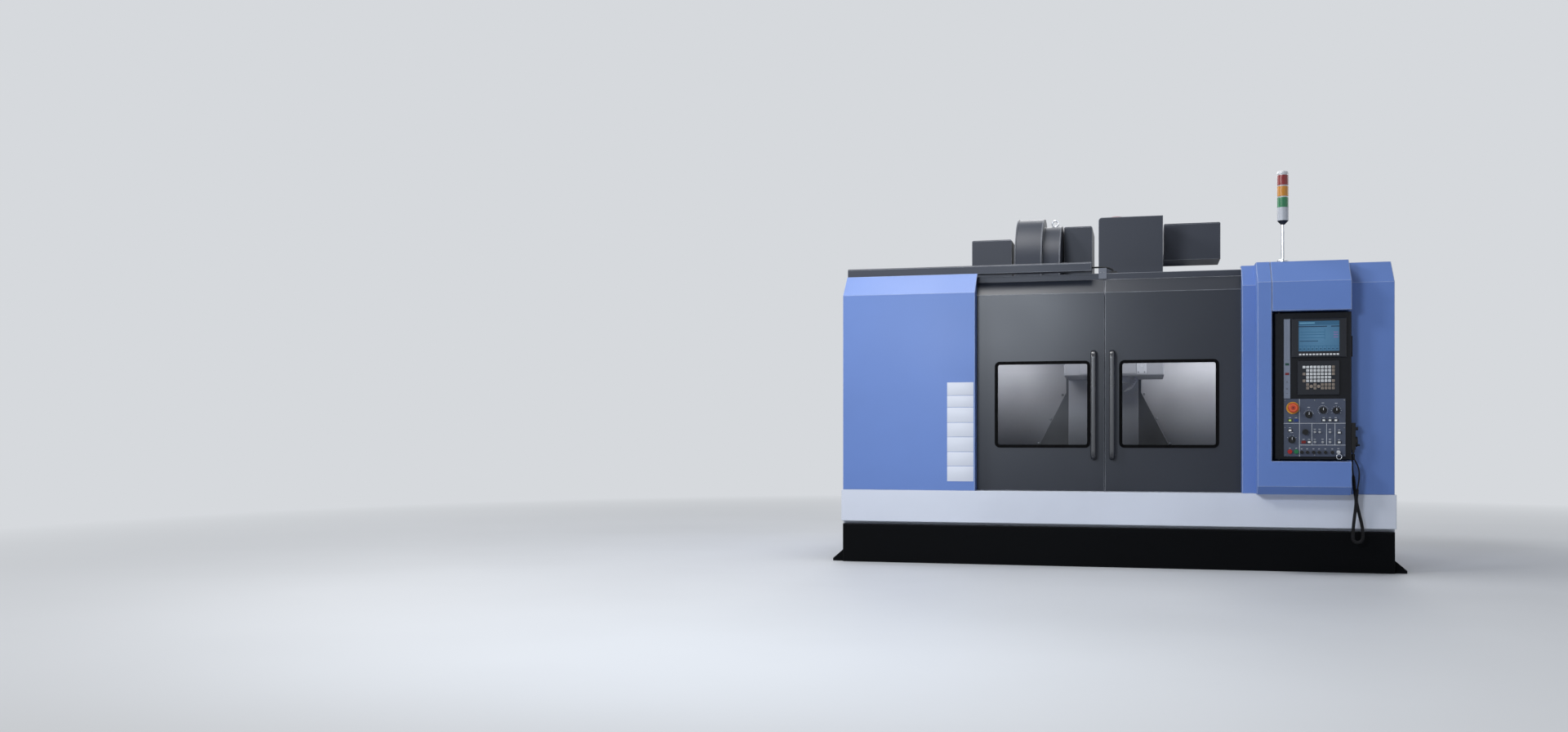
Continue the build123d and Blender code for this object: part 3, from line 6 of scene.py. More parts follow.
import bmesh
import bpy
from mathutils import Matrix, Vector


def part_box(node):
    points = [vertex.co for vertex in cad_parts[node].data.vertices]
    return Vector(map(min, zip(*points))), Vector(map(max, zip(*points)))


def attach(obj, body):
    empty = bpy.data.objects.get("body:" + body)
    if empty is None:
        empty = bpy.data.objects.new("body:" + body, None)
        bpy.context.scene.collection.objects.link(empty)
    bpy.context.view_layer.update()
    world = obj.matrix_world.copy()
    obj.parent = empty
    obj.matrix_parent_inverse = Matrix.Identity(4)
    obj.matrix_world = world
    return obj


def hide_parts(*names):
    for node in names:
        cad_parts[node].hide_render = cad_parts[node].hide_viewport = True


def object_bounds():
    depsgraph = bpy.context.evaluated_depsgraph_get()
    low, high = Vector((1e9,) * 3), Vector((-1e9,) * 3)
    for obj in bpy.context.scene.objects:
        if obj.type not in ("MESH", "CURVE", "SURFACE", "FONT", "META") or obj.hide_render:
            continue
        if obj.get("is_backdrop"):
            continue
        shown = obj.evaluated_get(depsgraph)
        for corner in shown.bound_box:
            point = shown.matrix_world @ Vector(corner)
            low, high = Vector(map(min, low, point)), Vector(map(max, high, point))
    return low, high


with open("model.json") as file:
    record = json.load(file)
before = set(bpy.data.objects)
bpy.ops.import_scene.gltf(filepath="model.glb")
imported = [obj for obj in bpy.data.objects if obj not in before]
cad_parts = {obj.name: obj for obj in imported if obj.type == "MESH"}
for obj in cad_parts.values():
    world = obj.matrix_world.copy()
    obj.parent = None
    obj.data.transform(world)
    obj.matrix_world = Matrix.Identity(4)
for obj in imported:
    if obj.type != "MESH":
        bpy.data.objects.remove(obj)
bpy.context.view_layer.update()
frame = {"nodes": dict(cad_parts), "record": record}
nodes = frame["nodes"]

# Camera, fitted to the front corners of the machine
CAMERA_PLACE = (0.20155, -8.45634, 0.67968)
CAMERA_TURN = 0.25539
SENSOR_WIDTH = 36
LENS = 31.79
VIEW_SHIFT = 0.0449

# Pendant lead in metres: a thin tail, a curly loop and a thin return to its socket
CORD_DIAMETER = 0.0070
CURL_DIAMETER = 0.0180
CURL_PITCH = 0.0075
CURL_POINTS = 12
CURL_FADE = 0.015
CURL_START = (1.212, -1.149, 0.424)
CURL_END = (1.196, -1.115, 0.492)
CORD_ROUTE = (
    (1.192, -1.144, 0.598), (1.192, -1.144, 0.574), (1.210, -1.146, 0.545), (1.220, -1.148, 0.508),
    (1.218, -1.149, 0.464), (1.212, -1.149, 0.424), (1.206, -1.149, 0.384), (1.204, -1.149, 0.336),
    (1.197, -1.148, 0.280), (1.192, -1.146, 0.230), (1.191, -1.144, 0.196), (1.190, -1.141, 0.170),
    (1.204, -1.136, 0.156), (1.224, -1.130, 0.156), (1.238, -1.125, 0.170), (1.240, -1.122, 0.196),
    (1.237, -1.120, 0.236), (1.226, -1.118, 0.286), (1.213, -1.116, 0.340), (1.205, -1.115, 0.396),
    (1.199, -1.115, 0.450), (1.196, -1.115, 0.492), (1.192, -1.116, 0.530), (1.192, -1.116, 0.563),
)

# Places on the operator plate, as shares of its width and height
DIVIDER_COLUMN_SHARES = (
    (0.254, 0.0, 1.0), (0.456, 0.199, 0.575), (0.693, 0.199, 0.575), (0.829, 0.199, 0.575),
)
DIVIDER_ROW_SHARES = ((0.575, 0.0, 1.0), (0.199, 0.254, 1.0))
KNOB_SHARES = {
    "mode_knob": (0.404, 0.725), "feed_knob": (0.634, 0.801),
    "spindle_knob": (0.850, 0.794), "rapid_knob": (0.129, 0.289),
}
ESTOP_SHARES = (0.143, 0.843)


def paint(red, green, blue):
    """Linear colour from screen values of 0 to 255."""
    channels = []
    for value in (red, green, blue):
        share = value / 255
        channels.append(share / 12.92 if share <= 0.04045 else ((share + 0.055) / 1.055) ** 2.4)
    return (*channels, 1.0)


def shade(colour, factor):
    """The colour made darker or lighter by one factor."""
    return (*(min(1.0, channel * factor) for channel in colour[:3]), 1.0)


# Colours
BLUE = paint(92, 121, 182)
DOOR_GREY = paint(34, 38, 47)
COVER_GREY = paint(46, 50, 60)
WHITE = paint(200, 205, 217)
PLINTH = paint(6, 7, 9)
INNER_GREY = paint(196, 198, 205)
# Painted shade towards the foot of the work area
INNER_SHADE = paint(44, 46, 52)
CASTING = paint(60, 63, 70)
BLACK = paint(12, 13, 15)
BEZEL = paint(24, 27, 34)
PLATE = paint(70, 77, 94)
# Painted highlight along folds and edges
FOLD_HIGHLIGHT = paint(226, 231, 240)
MARK = paint(222, 225, 230)
KEY_WHITE = paint(214, 216, 218)
KEY_BROWN = paint(139, 127, 116)
# Painted highlights along the edges of moulded and cast parts
PLASTIC_EDGE_HIGHLIGHT = paint(200, 204, 212)
CAST_EDGE_HIGHLIGHT = paint(170, 172, 178)

# Textures: scales in cells per metre, depths and edge radii in metres
PEEL_SCALE = 420
PEEL_DEPTH = 0.00012
SHEET_FOLD = 0.006
INNER_FOLD = 0.004
SPARK_SCALE = 1600
SPARK_DEPTH = 0.0001
SATIN_DEPTH = 0.00005
SMOOTH_DEPTH = 0.00004
PRINT_DEPTH = 0.00003
MOULD_EDGE = 0.0012
GROUND_SCALE = 90
GROUND_DEPTH = 0.00006
GROUND_EDGE = 0.0015
SAND_SCALE = 260
SAND_DEPTH = 0.0005
CAST_EDGE = 0.006
BLOOM_SCALE = 900
BLOOM_DEPTH = 0.0001
FLUTE_SCALE = 60
FLUTE_DEPTH = 0.0006


class Finish:
    """A material's node tree, with short calls for the nodes that the finishes share."""

    def __init__(self, name):
        self.material = bpy.data.materials.new(name)
        self.material.use_nodes = True
        self.tree = self.material.node_tree
        self.shader = self.tree.nodes["Principled BSDF"]
        self.place = self.node("ShaderNodeTexCoord").outputs["Object"]

    def node(self, kind, **settings):
        made = self.tree.nodes.new(kind)
        for key, value in settings.items():
            setattr(made, key, value)
        return made

    def feed(self, socket, value):
        if isinstance(value, bpy.types.NodeSocket):
            self.tree.links.new(value, socket)
        else:
            socket.default_value = value

    def set(self, **values):
        for key, value in values.items():
            self.feed(self.shader.inputs[key.replace("_", " ")], value)

    def math(self, operation, *values):
        made = self.node("ShaderNodeMath", operation=operation)
        for socket, value in zip(made.inputs, values):
            self.feed(socket, value)
        return made.outputs[0]

    def noise(self, scale, detail=3.0, stretch=(1, 1, 1)):
        mapping = self.node("ShaderNodeMapping")
        self.feed(mapping.inputs["Vector"], self.place)
        self.feed(mapping.inputs["Scale"], stretch)
        made = self.node("ShaderNodeTexNoise")
        self.feed(made.inputs["Vector"], mapping.outputs[0])
        self.feed(made.inputs["Scale"], scale)
        self.feed(made.inputs["Detail"], detail)
        return made.outputs["Fac"]

    def spread(self, value, low, high, start=0.3, end=0.7):
        made = self.node("ShaderNodeMapRange")
        for socket, number in zip(made.inputs, (value, start, end, low, high)):
            self.feed(socket, number)
        return made.outputs[0]

    def mix(self, factor, first, second):
        made = self.node("ShaderNodeMix", data_type="RGBA")
        for index, value in ((0, factor), (6, first), (7, second)):
            self.feed(made.inputs[index], value)
        return made.outputs[2]

    def axis(self, index):
        made = self.node("ShaderNodeSeparateXYZ")
        self.feed(made.inputs[0], self.place)
        return made.outputs[index]

    def near(self, centre, half):
        """1 inside a box given by its centre and half sizes, else 0."""
        offset = self.node("ShaderNodeVectorMath", operation="SUBTRACT")
        self.feed(offset.inputs[0], self.place)
        self.feed(offset.inputs[1], centre)
        size = self.node("ShaderNodeVectorMath", operation="ABSOLUTE")
        self.feed(size.inputs[0], offset.outputs[0])
        share = self.node("ShaderNodeVectorMath", operation="DIVIDE")
        self.feed(share.inputs[0], size.outputs[0])
        self.feed(share.inputs[1], half)
        parts = self.node("ShaderNodeSeparateXYZ")
        self.feed(parts.inputs[0], share.outputs[0])
        widest = self.math("MAXIMUM", parts.outputs[0], parts.outputs[1])
        widest = self.math("MAXIMUM", widest, parts.outputs[2])
        return self.math("LESS_THAN", widest, 1.0)

    def zones(self, colour, boxes):
        """The colour, changed inside each box of (centre, half sizes, colour)."""
        for centre, half, tint in boxes:
            colour = self.mix(self.near(centre, half), colour, tint)
        return colour

    def mottle(self, colour, amount, scale=1.4):
        """The colour with soft patches a little darker and lighter."""
        patches = self.spread(self.noise(scale, detail=4.0), low=0.0, high=1.0)
        if isinstance(colour, bpy.types.NodeSocket):
            dark = self.mix(amount, colour, (0, 0, 0, 1))
            return self.mix(patches, dark, colour)
        return self.mix(patches, shade(colour, 1 - amount), shade(colour, 1 + amount))

    def edges(self, radius):
        """Rounded normal and a mask that is 1 along the folds and corners."""
        bevel = self.node("ShaderNodeBevel", samples=4)
        self.feed(bevel.inputs["Radius"], radius)
        true = self.node("ShaderNodeNewGeometry").outputs["Normal"]
        alike = self.node("ShaderNodeVectorMath", operation="DOT_PRODUCT")
        self.feed(alike.inputs[0], bevel.outputs[0])
        self.feed(alike.inputs[1], true)
        return bevel.outputs[0], self.spread(alike.outputs["Value"], low=1.0, high=0.0, start=0.86, end=0.995)

    def bump(self, height, distance, normal=None, strength=0.5):
        made = self.node("ShaderNodeBump")
        self.feed(made.inputs["Height"], height)
        self.feed(made.inputs["Distance"], distance)
        self.feed(made.inputs["Strength"], strength)
        if normal is not None:
            self.feed(made.inputs["Normal"], normal)
        self.set(Normal=made.outputs[0])


def painted_sheet(
    name, colour, roughness, edge_light, gloss=0.45, peel=PEEL_DEPTH, fold=SHEET_FOLD, boxes=(),
):
    """Sprayed paint on sheet metal: soft patches, orange peel and a painted highlight, a lighter line along
    the folds.
    """
    finish = Finish(name)
    normal, edge = finish.edges(fold)
    tone = finish.mottle(finish.zones(colour, boxes), amount=0.06)
    # Painted highlight: a pale line along the folds, its strength varied by noise
    fold_highlight = finish.spread(finish.noise(9, detail=5.0), 0.5 * edge_light, edge_light)
    finish.set(Base_Color=finish.mix(finish.math("MULTIPLY", edge, fold_highlight), tone, FOLD_HIGHLIGHT))
    finish.set(Roughness=finish.spread(finish.noise(2, detail=1.0), roughness - 0.02, roughness + 0.03))
    finish.set(Specular_IOR_Level=gloss)
    finish.bump(finish.noise(PEEL_SCALE, detail=2.0), peel, normal, strength=0.6)
    return finish.material


def shade_graded_sheet(name, colour, dark, low, high):
    """Inner paint with painted shade: darker towards the table between two heights."""
    finish = Finish(name)
    normal, edge = finish.edges(INNER_FOLD)
    # Painted shade: the colour darkens below the upper height towards the table
    unshaded_share = finish.math("POWER", finish.spread(finish.axis(2), 0.0, 1.0, start=low, end=high), 1.4)
    tone = finish.mottle(finish.mix(unshaded_share, dark, colour), amount=0.08, scale=5)
    # Painted highlight: a pale line along the folds
    finish.set(Base_Color=finish.mix(finish.math("MULTIPLY", edge, 0.25), tone, FOLD_HIGHLIGHT))
    finish.set(Roughness=finish.spread(finish.noise(7, detail=4.0), low=0.38, high=0.56))
    finish.bump(finish.noise(PEEL_SCALE, detail=2.0), PEEL_DEPTH, normal, strength=0.6)
    return finish.material


def moulded(name, colour, roughness, gloss=0.3, grain=SPARK_DEPTH, boxes=()):
    """Moulded plastic with a fine spark texture and a painted highlight along its edges."""
    finish = Finish(name)
    normal, edge = finish.edges(MOULD_EDGE)
    tone = finish.mottle(finish.zones(colour, boxes), amount=0.10, scale=14)
    finish.set(Base_Color=finish.mix(finish.math("MULTIPLY", edge, 0.12), tone, PLASTIC_EDGE_HIGHLIGHT))
    finish.set(Specular_IOR_Level=gloss)
    finish.set(Roughness=finish.spread(finish.noise(60), roughness - 0.06, roughness + 0.08))
    finish.bump(finish.noise(SPARK_SCALE, detail=2.0), grain, normal)
    return finish.material


def machined_metal(name, colour, roughness, stretch):
    """Ground or turned steel with fine lines along one direction."""
    finish = Finish(name)
    lines = finish.noise(GROUND_SCALE, detail=4.0, stretch=stretch)
    finish.set(Base_Color=finish.mix(lines, shade(colour, 0.8), shade(colour, 1.12)))
    finish.set(Roughness=finish.spread(lines, roughness - 0.08, roughness + 0.1))
    finish.set(Metallic=1.0)
    normal, _ = finish.edges(GROUND_EDGE)
    finish.bump(lines, GROUND_DEPTH, normal)
    return finish.material


def casting(name, colour):
    """Painted cast iron with a sand texture and a painted highlight along its edges."""
    finish = Finish(name)
    normal, edge = finish.edges(CAST_EDGE)
    tone = finish.mottle(colour, amount=0.16, scale=3)
    finish.set(Base_Color=finish.mix(finish.math("MULTIPLY", edge, 0.2), tone, CAST_EDGE_HIGHLIGHT))
    finish.set(Roughness=finish.spread(finish.noise(30, detail=4.0), low=0.5, high=0.7))
    finish.bump(finish.noise(SAND_SCALE, detail=5.0), SAND_DEPTH, normal)
    return finish.material


def rubber(name, colour, gloss=0.25):
    """Matt rubber with a dusty bloom."""
    finish = Finish(name)
    finish.set(Base_Color=finish.mottle(colour, amount=0.25, scale=30))
    finish.set(Roughness=finish.spread(finish.noise(80), low=0.55, high=0.8), Specular_IOR_Level=gloss)
    finish.bump(finish.noise(BLOOM_SCALE, detail=2.0), BLOOM_DEPTH)
    return finish.material


def window_glass(name):
    """Clear laminated pane: faint tint, reflection that grows towards grazing angles."""
    finish = Finish(name)
    gloss = finish.node("ShaderNodeFresnel")
    finish.feed(gloss.inputs["IOR"], 1.5)
    smear = finish.spread(finish.noise(5), low=0.04, high=0.07)
    finish.set(Base_Color=finish.mottle(paint(58, 63, 72), amount=0.2, scale=5))
    finish.set(Alpha=finish.math("ADD", smear, finish.math("MULTIPLY", gloss.outputs[0], 0.5)))
    finish.set(Roughness=finish.spread(finish.noise(18, detail=4.0), low=0.02, high=0.07))
    return finish.material


def lens_plastic(name, tiers):
    """Clear tinted lamp lenses with upright flutes, and silver rings and a cap between them."""
    finish = Finish(name)
    level = finish.axis(2)
    colour = paint(188, 190, 194)
    for low, high, tint in tiers:
        above = finish.math("GREATER_THAN", level, low)
        below = finish.math("LESS_THAN", level, high)
        colour = finish.mix(finish.math("MULTIPLY", above, below), colour, tint)
    finish.set(Base_Color=finish.mottle(colour, amount=0.12, scale=40))
    finish.set(Roughness=finish.spread(finish.noise(70), low=0.14, high=0.26))
    finish.set(Coat_Weight=0.15)
    wave = finish.node("ShaderNodeTexWave", bands_direction="X")
    finish.feed(wave.inputs["Vector"], finish.place)
    finish.feed(wave.inputs["Scale"], FLUTE_SCALE)
    finish.bump(wave.outputs["Fac"], FLUTE_DEPTH)
    return finish.material


# Emergency stop: the cap's red, and the rings in its crown by outer radius
STOP_RED = paint(184, 62, 28)
STOP_RINGS = ((0.017, paint(206, 92, 48)), (0.012, paint(172, 50, 26)), (0.005, paint(96, 22, 16)))


def stop_cap(name, x, z):
    """Red mushroom button: a paler ring pressed into its crown round a dark centre."""
    finish = Finish(name)
    across = finish.math("SUBTRACT", finish.axis(0), x)
    upward = finish.math("SUBTRACT", finish.axis(2), z)
    across = finish.math("MULTIPLY", across, across)
    upward = finish.math("MULTIPLY", upward, upward)
    radius = finish.math("SQRT", finish.math("ADD", across, upward))
    tone = STOP_RED
    for reach, tint in STOP_RINGS:
        tone = finish.mix(finish.math("LESS_THAN", radius, reach), tone, tint)
    finish.set(Base_Color=finish.mottle(tone, amount=0.08, scale=40))
    finish.set(Roughness=finish.spread(finish.noise(60), low=0.28, high=0.42))
    finish.bump(finish.noise(SPARK_SCALE, detail=2.0), SMOOTH_DEPTH)
    return finish.material


# Display picture, as shares of the screen: (left, right, low, high) and a colour
SCREEN_LINE = paint(44, 88, 118)
SCREEN_DARK = paint(20, 38, 60)
SCREEN_FIELD = paint(110, 96, 140)
SCREEN_WORD = paint(34, 66, 92)
FIELD_LOWS = (0.44, 0.52, 0.60)
FIELD_HEIGHT = 0.035
MENU_PITCH = 0.1
MENU_LEFTS = [MENU_PITCH * index for index in range(10)]
GLOW_REACH = 0.14
PICTURE = [
    ((0.00, 1.00, 0.86, 1.00), paint(44, 84, 112)),
    ((0.02, 0.40, 0.91, 0.95), paint(92, 140, 166)),
    ((0.00, 0.70, 0.80, 0.83), SCREEN_DARK),
    ((0.80, 1.00, 0.80, 0.83), SCREEN_DARK),
    ((0.03, 0.64, 0.620, 0.635), SCREEN_LINE),
    ((0.03, 0.64, 0.535, 0.550), SCREEN_LINE),
    ((0.03, 0.64, 0.435, 0.450), SCREEN_LINE),
    ((0.64, 0.65, 0.38, 0.74), SCREEN_LINE),
    ((0.03, 0.48, 0.32, 0.345), paint(30, 58, 84)),
    ((0.00, 1.00, 0.165, 0.180), SCREEN_LINE),
]
PICTURE += [((0.86, 0.97, low, low + FIELD_HEIGHT), SCREEN_FIELD) for low in FIELD_LOWS]
PICTURE += [((left + 0.09, left + 0.10, 0.0, 0.17), SCREEN_LINE) for left in MENU_LEFTS[:-1]]
PICTURE += [((left + 0.02, left + 0.07, 0.06, 0.09), SCREEN_WORD) for left in MENU_LEFTS]


def lit_screen(name):
    """Display face: a teal picture of plain lines and fields that glows a little."""
    finish = Finish(name)
    low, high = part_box("screen")
    size = high - low
    middle = (low + high) / 2
    away = finish.node("ShaderNodeVectorMath", operation="DISTANCE")
    finish.feed(away.inputs[0], finish.place)
    finish.feed(away.inputs[1], tuple(middle))
    glow = finish.spread(away.outputs["Value"], low=1.0, high=0.0, start=0.0, end=GLOW_REACH)
    tone = finish.mix(glow, paint(54, 92, 120), paint(74, 116, 146))
    fields = []
    for (left, right, base, top), colour in PICTURE:
        centre = (low.x + size.x * (left + right) / 2, middle.y, low.z + size.z * (base + top) / 2)
        fields.append((centre, (size.x * (right - left) / 2, size.y, size.z * (top - base) / 2), colour))
    tone = finish.zones(tone, fields)
    rows = finish.spread(finish.noise(700, detail=2.0, stretch=(0.05, 1, 1)), low=0.0, high=0.10)
    tone = finish.mix(rows, tone, paint(40, 74, 98))
    finish.set(Base_Color=tone, Emission_Color=tone, Emission_Strength=0.30, Roughness=0.18)
    finish.set(Specular_IOR_Level=0.3)
    return finish.material


SHARP_ANGLE = math.radians(32)


def piece(name, mesh, material, body):
    """A new object from a bmesh, riding on a body, with its finish."""
    data = bpy.data.meshes.new(name)
    mesh.to_mesh(data)
    mesh.free()
    for face in data.polygons:
        face.use_smooth = True
    data.set_sharp_from_angle(angle=SHARP_ANGLE)
    data.materials.append(material)
    made = bpy.data.objects.new(name, data)
    bpy.context.scene.collection.objects.link(made)
    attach(made, body)
    return made


def slab(mesh, low, high, rounding=0.0):
    """A box with softened edges, added to the bmesh."""
    low, high = Vector(low), Vector(high)
    grown = bmesh.ops.create_cube(mesh, size=1.0)["verts"]
    size = high - low
    for vert in grown:
        vert.co = Vector(c * s for c, s in zip(vert.co, size)) + (low + high) / 2
    if rounding:
        edges = list({edge for vert in grown for edge in vert.link_edges})
        bmesh.ops.bevel(mesh, geom=edges, offset=rounding, segments=2, affect="EDGES", profile=0.5)


# Directions in which turned shapes stand
LEFT = (-1, 0, 0)
RIGHT = (1, 0, 0)
FRONT = (0, -1, 0)
REAR = (0, 1, 0)


def bridge(mesh, first, second):
    """Faces between two rings with the same number of points."""
    count = len(first)
    for index in range(count):
        after = (index + 1) % count
        mesh.faces.new((first[index], first[after], second[after], second[index]))


def turned(mesh, centre, direction, profile, steps):
    """A lathe shape of (radius, height) points about a direction, added to the bmesh."""
    frame_turn = Vector(direction).to_track_quat("Z", "Y").to_matrix()
    rings = []
    for radius, height in profile:
        ring = []
        for step in range(steps):
            angle = 2 * math.pi * step / steps
            spot = Vector((radius * math.cos(angle), radius * math.sin(angle), height))
            ring.append(mesh.verts.new(Vector(centre) + frame_turn @ spot))
        rings.append(ring)
    for lower, upper in zip(rings, rings[1:]):
        bridge(mesh, lower, upper)
    mesh.faces.new(rings[-1])
    mesh.faces.new(reversed(rings[0]))


# Screw head as shares of its radius and height
SCREW_PROFILE = ((1, 0), (1, 0.35), (0.86, 0.75), (0.6, 1), (0.46, 1), (0.42, 0.45))
SCREW_HEIGHT_SHARE = 0.55


def button_screw(mesh, centre, direction, radius):
    """A low round screw head with a socket in its crown."""
    height = radius * SCREW_HEIGHT_SHARE
    profile = [(radius * reach, height * rise) for reach, rise in SCREW_PROFILE]
    turned(mesh, centre, direction, profile, steps=16)


# Finishes of the solids, by material slot
LAMP_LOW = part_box("lamp_lenses")[0]
LENS_HEIGHT = 0.050
LENS_PITCH = 0.056
LENS_COLOURS = (paint(18, 108, 66), paint(180, 118, 22), paint(122, 16, 20))
lens_tiers = [
    (LAMP_LOW.z + tier * LENS_PITCH, LAMP_LOW.z + tier * LENS_PITCH + LENS_HEIGHT, tint)
    for tier, tint in enumerate(LENS_COLOURS)
]

finishes = {
    "blue_paint": painted_sheet("blue_paint", BLUE, roughness=0.42, edge_light=0.75, gloss=0.35),
    "door_grey": painted_sheet("door_grey", DOOR_GREY, roughness=0.32, edge_light=0.55, gloss=0.36),
    "white_paint": painted_sheet("white_paint", WHITE, roughness=0.45, edge_light=0.5),
    "plinth_black": painted_sheet(
        "plinth_black", PLINTH, roughness=0.6, edge_light=0.05, gloss=0.05, peel=0.0002,
    ),
    "cover_grey": painted_sheet("cover_grey", COVER_GREY, roughness=0.44, edge_light=0.55, gloss=0.3),
    "inner_grey": shade_graded_sheet("inner_grey", INNER_GREY, INNER_SHADE, low=0.58, high=1.08),
    "casting_grey": casting("casting_grey", CASTING),
    "machined": machined_metal("machined", paint(176, 178, 182), roughness=0.32, stretch=(0.03, 1, 1)),
    "steel": machined_metal("steel", paint(198, 200, 204), roughness=0.28, stretch=(1, 1, 0.04)),
    "handle_dark": painted_sheet(
        "handle_dark", paint(26, 28, 34), roughness=0.26, edge_light=0.85, gloss=0.9, peel=SATIN_DEPTH,
        fold=INNER_FOLD,
    ),
    "gasket": rubber("gasket", paint(4, 4, 5), gloss=0.06),
    "window": window_glass("window"),
    "panel_black": moulded("panel_black", paint(12, 14, 19), roughness=0.5, gloss=0.2),
    "bezel_black": moulded("bezel_black", BEZEL, roughness=0.48),
    "display": lit_screen("display"),
    "plate_grey": moulded("plate_grey", PLATE, roughness=0.42, grain=SATIN_DEPTH),
    "knob_black": moulded("knob_black", BLACK, roughness=0.38),
    "stop_red": moulded("stop_red", paint(158, 34, 30), roughness=0.3, grain=SMOOTH_DEPTH),
    "start_green": moulded("start_green", paint(26, 110, 66), roughness=0.3, grain=SMOOTH_DEPTH),
    "lamp_white": moulded("lamp_white", paint(214, 216, 220), roughness=0.3, grain=SMOOTH_DEPTH),
    "lamp_colours": lens_plastic("lamp_colours", lens_tiers),
    "cord_black": rubber("cord_black", paint(20, 20, 22)),
}

# Places on the operator panel, in metres
PLATE_LOW, PLATE_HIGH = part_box("operator_plate")
PLATE_PROUD = 0.004
PLATE_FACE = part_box("side_strip")[1].y - PLATE_PROUD
RAISED = 0.0004


def on_plate(shares):
    """Place on the operator plate from shares of its width and height."""
    return (
        PLATE_LOW.x + shares[0] * (PLATE_HIGH.x - PLATE_LOW.x),
        PLATE_LOW.z + shares[1] * (PLATE_HIGH.z - PLATE_LOW.z),
    )


def raised_zone(x, z, half_x, half_z, face, proud, colour):
    """Colour of what stands proud of a face, inside a rectangle."""
    deep = (proud - RAISED) / 2
    return ((x, face - RAISED - deep, z), (half_x, deep + RAISED / 2, half_z), colour)


# Finish of the operator plate: black controls, a yellow collar and coloured caps
CONTROL_PROUD = 0.026
PUSH_HALF = (0.0104, 0.0069)
PUSH_COLOURS = (
    ((0.199, 0.627), paint(34, 56, 116)), ((0.321, 0.251), paint(112, 30, 26)),
)
LAMP_HALF = (0.0062, 0.0042)
LAMP_COLOURS = (
    ((0.648, 0.627), KEY_WHITE), ((0.746, 0.627), KEY_WHITE), ((0.840, 0.627), KEY_WHITE),
    ((0.098, 0.627), paint(186, 214, 110)), ((0.098, 0.453), paint(240, 240, 240)),
    ((0.411, 0.251), paint(236, 236, 236)), ((0.895, 0.415), KEY_WHITE), ((0.895, 0.247), KEY_WHITE),
)
TOGGLE_HALF = (0.0065, 0.0065)
TOGGLE_SILVER = paint(150, 153, 158)
TOGGLE_SHARES = (
    (0.502, 0.425), (0.502, 0.251), (0.580, 0.425), (0.627, 0.251), (0.746, 0.425), (0.746, 0.251),
)
SMALL_KNOB_SHARES = (
    (0.289, 0.073), (0.380, 0.073), (0.481, 0.073), (0.571, 0.073), (0.672, 0.073), (0.784, 0.073),
)
COLLAR_HALF = (0.031, 0.031)
COLLAR_YELLOW = paint(206, 146, 44)


def plate_zones():
    """Colours of the plate's raised controls."""
    middle = (PLATE_LOW + PLATE_HIGH) / 2
    half = (PLATE_HIGH - PLATE_LOW) / 2
    boxes = [raised_zone(middle.x, middle.z, half.x, half.z, PLATE_FACE, CONTROL_PROUD, BLACK)]
    caps = [(shares, PUSH_HALF, colour) for shares, colour in PUSH_COLOURS]
    caps += [(shares, LAMP_HALF, colour) for shares, colour in LAMP_COLOURS]
    caps += [(shares, TOGGLE_HALF, TOGGLE_SILVER) for shares in TOGGLE_SHARES]
    caps.append((ESTOP_SHARES, COLLAR_HALF, COLLAR_YELLOW))
    for shares, reach, colour in caps:
        boxes.append(raised_zone(*on_plate(shares), *reach, PLATE_FACE, CONTROL_PROUD, colour))
    return boxes


# Finish of the keypad: a pale block of letter keys among brown ones
KEY_PITCH = 0.017
KEY_PROUD = 0.0025
ENTRY_GAP = 0.004
KEY_ROWS = 5
KEY_COLUMNS = 7
KEYPAD_LOW, KEYPAD_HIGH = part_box("keypad")
keypad_middle = (KEYPAD_LOW + KEYPAD_HIGH) / 2
letters_z = keypad_middle.z + KEY_PITCH + ENTRY_GAP / 2
side_column = (KEY_COLUMNS + 1) / 2 * KEY_PITCH


def keypad_zones():
    """Colours of the keys, from the same pitch as the solids."""
    middle = keypad_middle
    half = (KEYPAD_HIGH - KEYPAD_LOW) / 2
    face = KEYPAD_LOW.y + KEY_PROUD
    return [
        raised_zone(middle.x, middle.z, half.x, half.z, face, 2 * KEY_PROUD, KEY_BROWN),
        raised_zone(
            middle.x - KEY_PITCH / 2, letters_z, side_column, KEY_ROWS * KEY_PITCH / 2,
            face, 2 * KEY_PROUD, KEY_WHITE,
        ),
        raised_zone(
            middle.x - side_column, letters_z - KEY_PITCH, KEY_PITCH / 2, 2 * KEY_PITCH,
            face, 2 * KEY_PROUD, KEY_BROWN,
        ),
    ]


# Finish of the display's bezel: pale soft keys
SOFT_KEY_PROUD = 0.002
DISPLAY_LOW, DISPLAY_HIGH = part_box("display_unit")


def display_zones():
    """Colour of the row of soft keys."""
    middle = (DISPLAY_LOW + DISPLAY_HIGH) / 2
    half = (DISPLAY_HIGH - DISPLAY_LOW) / 2
    face = DISPLAY_LOW.y + SOFT_KEY_PROUD
    return [raised_zone(middle.x, middle.z, half.x, half.z, face, 2 * SOFT_KEY_PROUD, KEY_WHITE)]


# Finish of the head cover's red cap
COVER_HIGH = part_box("head_cover")[1]
CAP_HEIGHT = 0.012
CAP_HALF = 0.04
CAP_PLACE = (0.047, -0.515)
CAP_RED = paint(150, 34, 30)
cap_zone = ((*CAP_PLACE, COVER_HIGH.z), (CAP_HALF, CAP_HALF, CAP_HEIGHT - RAISED), CAP_RED)

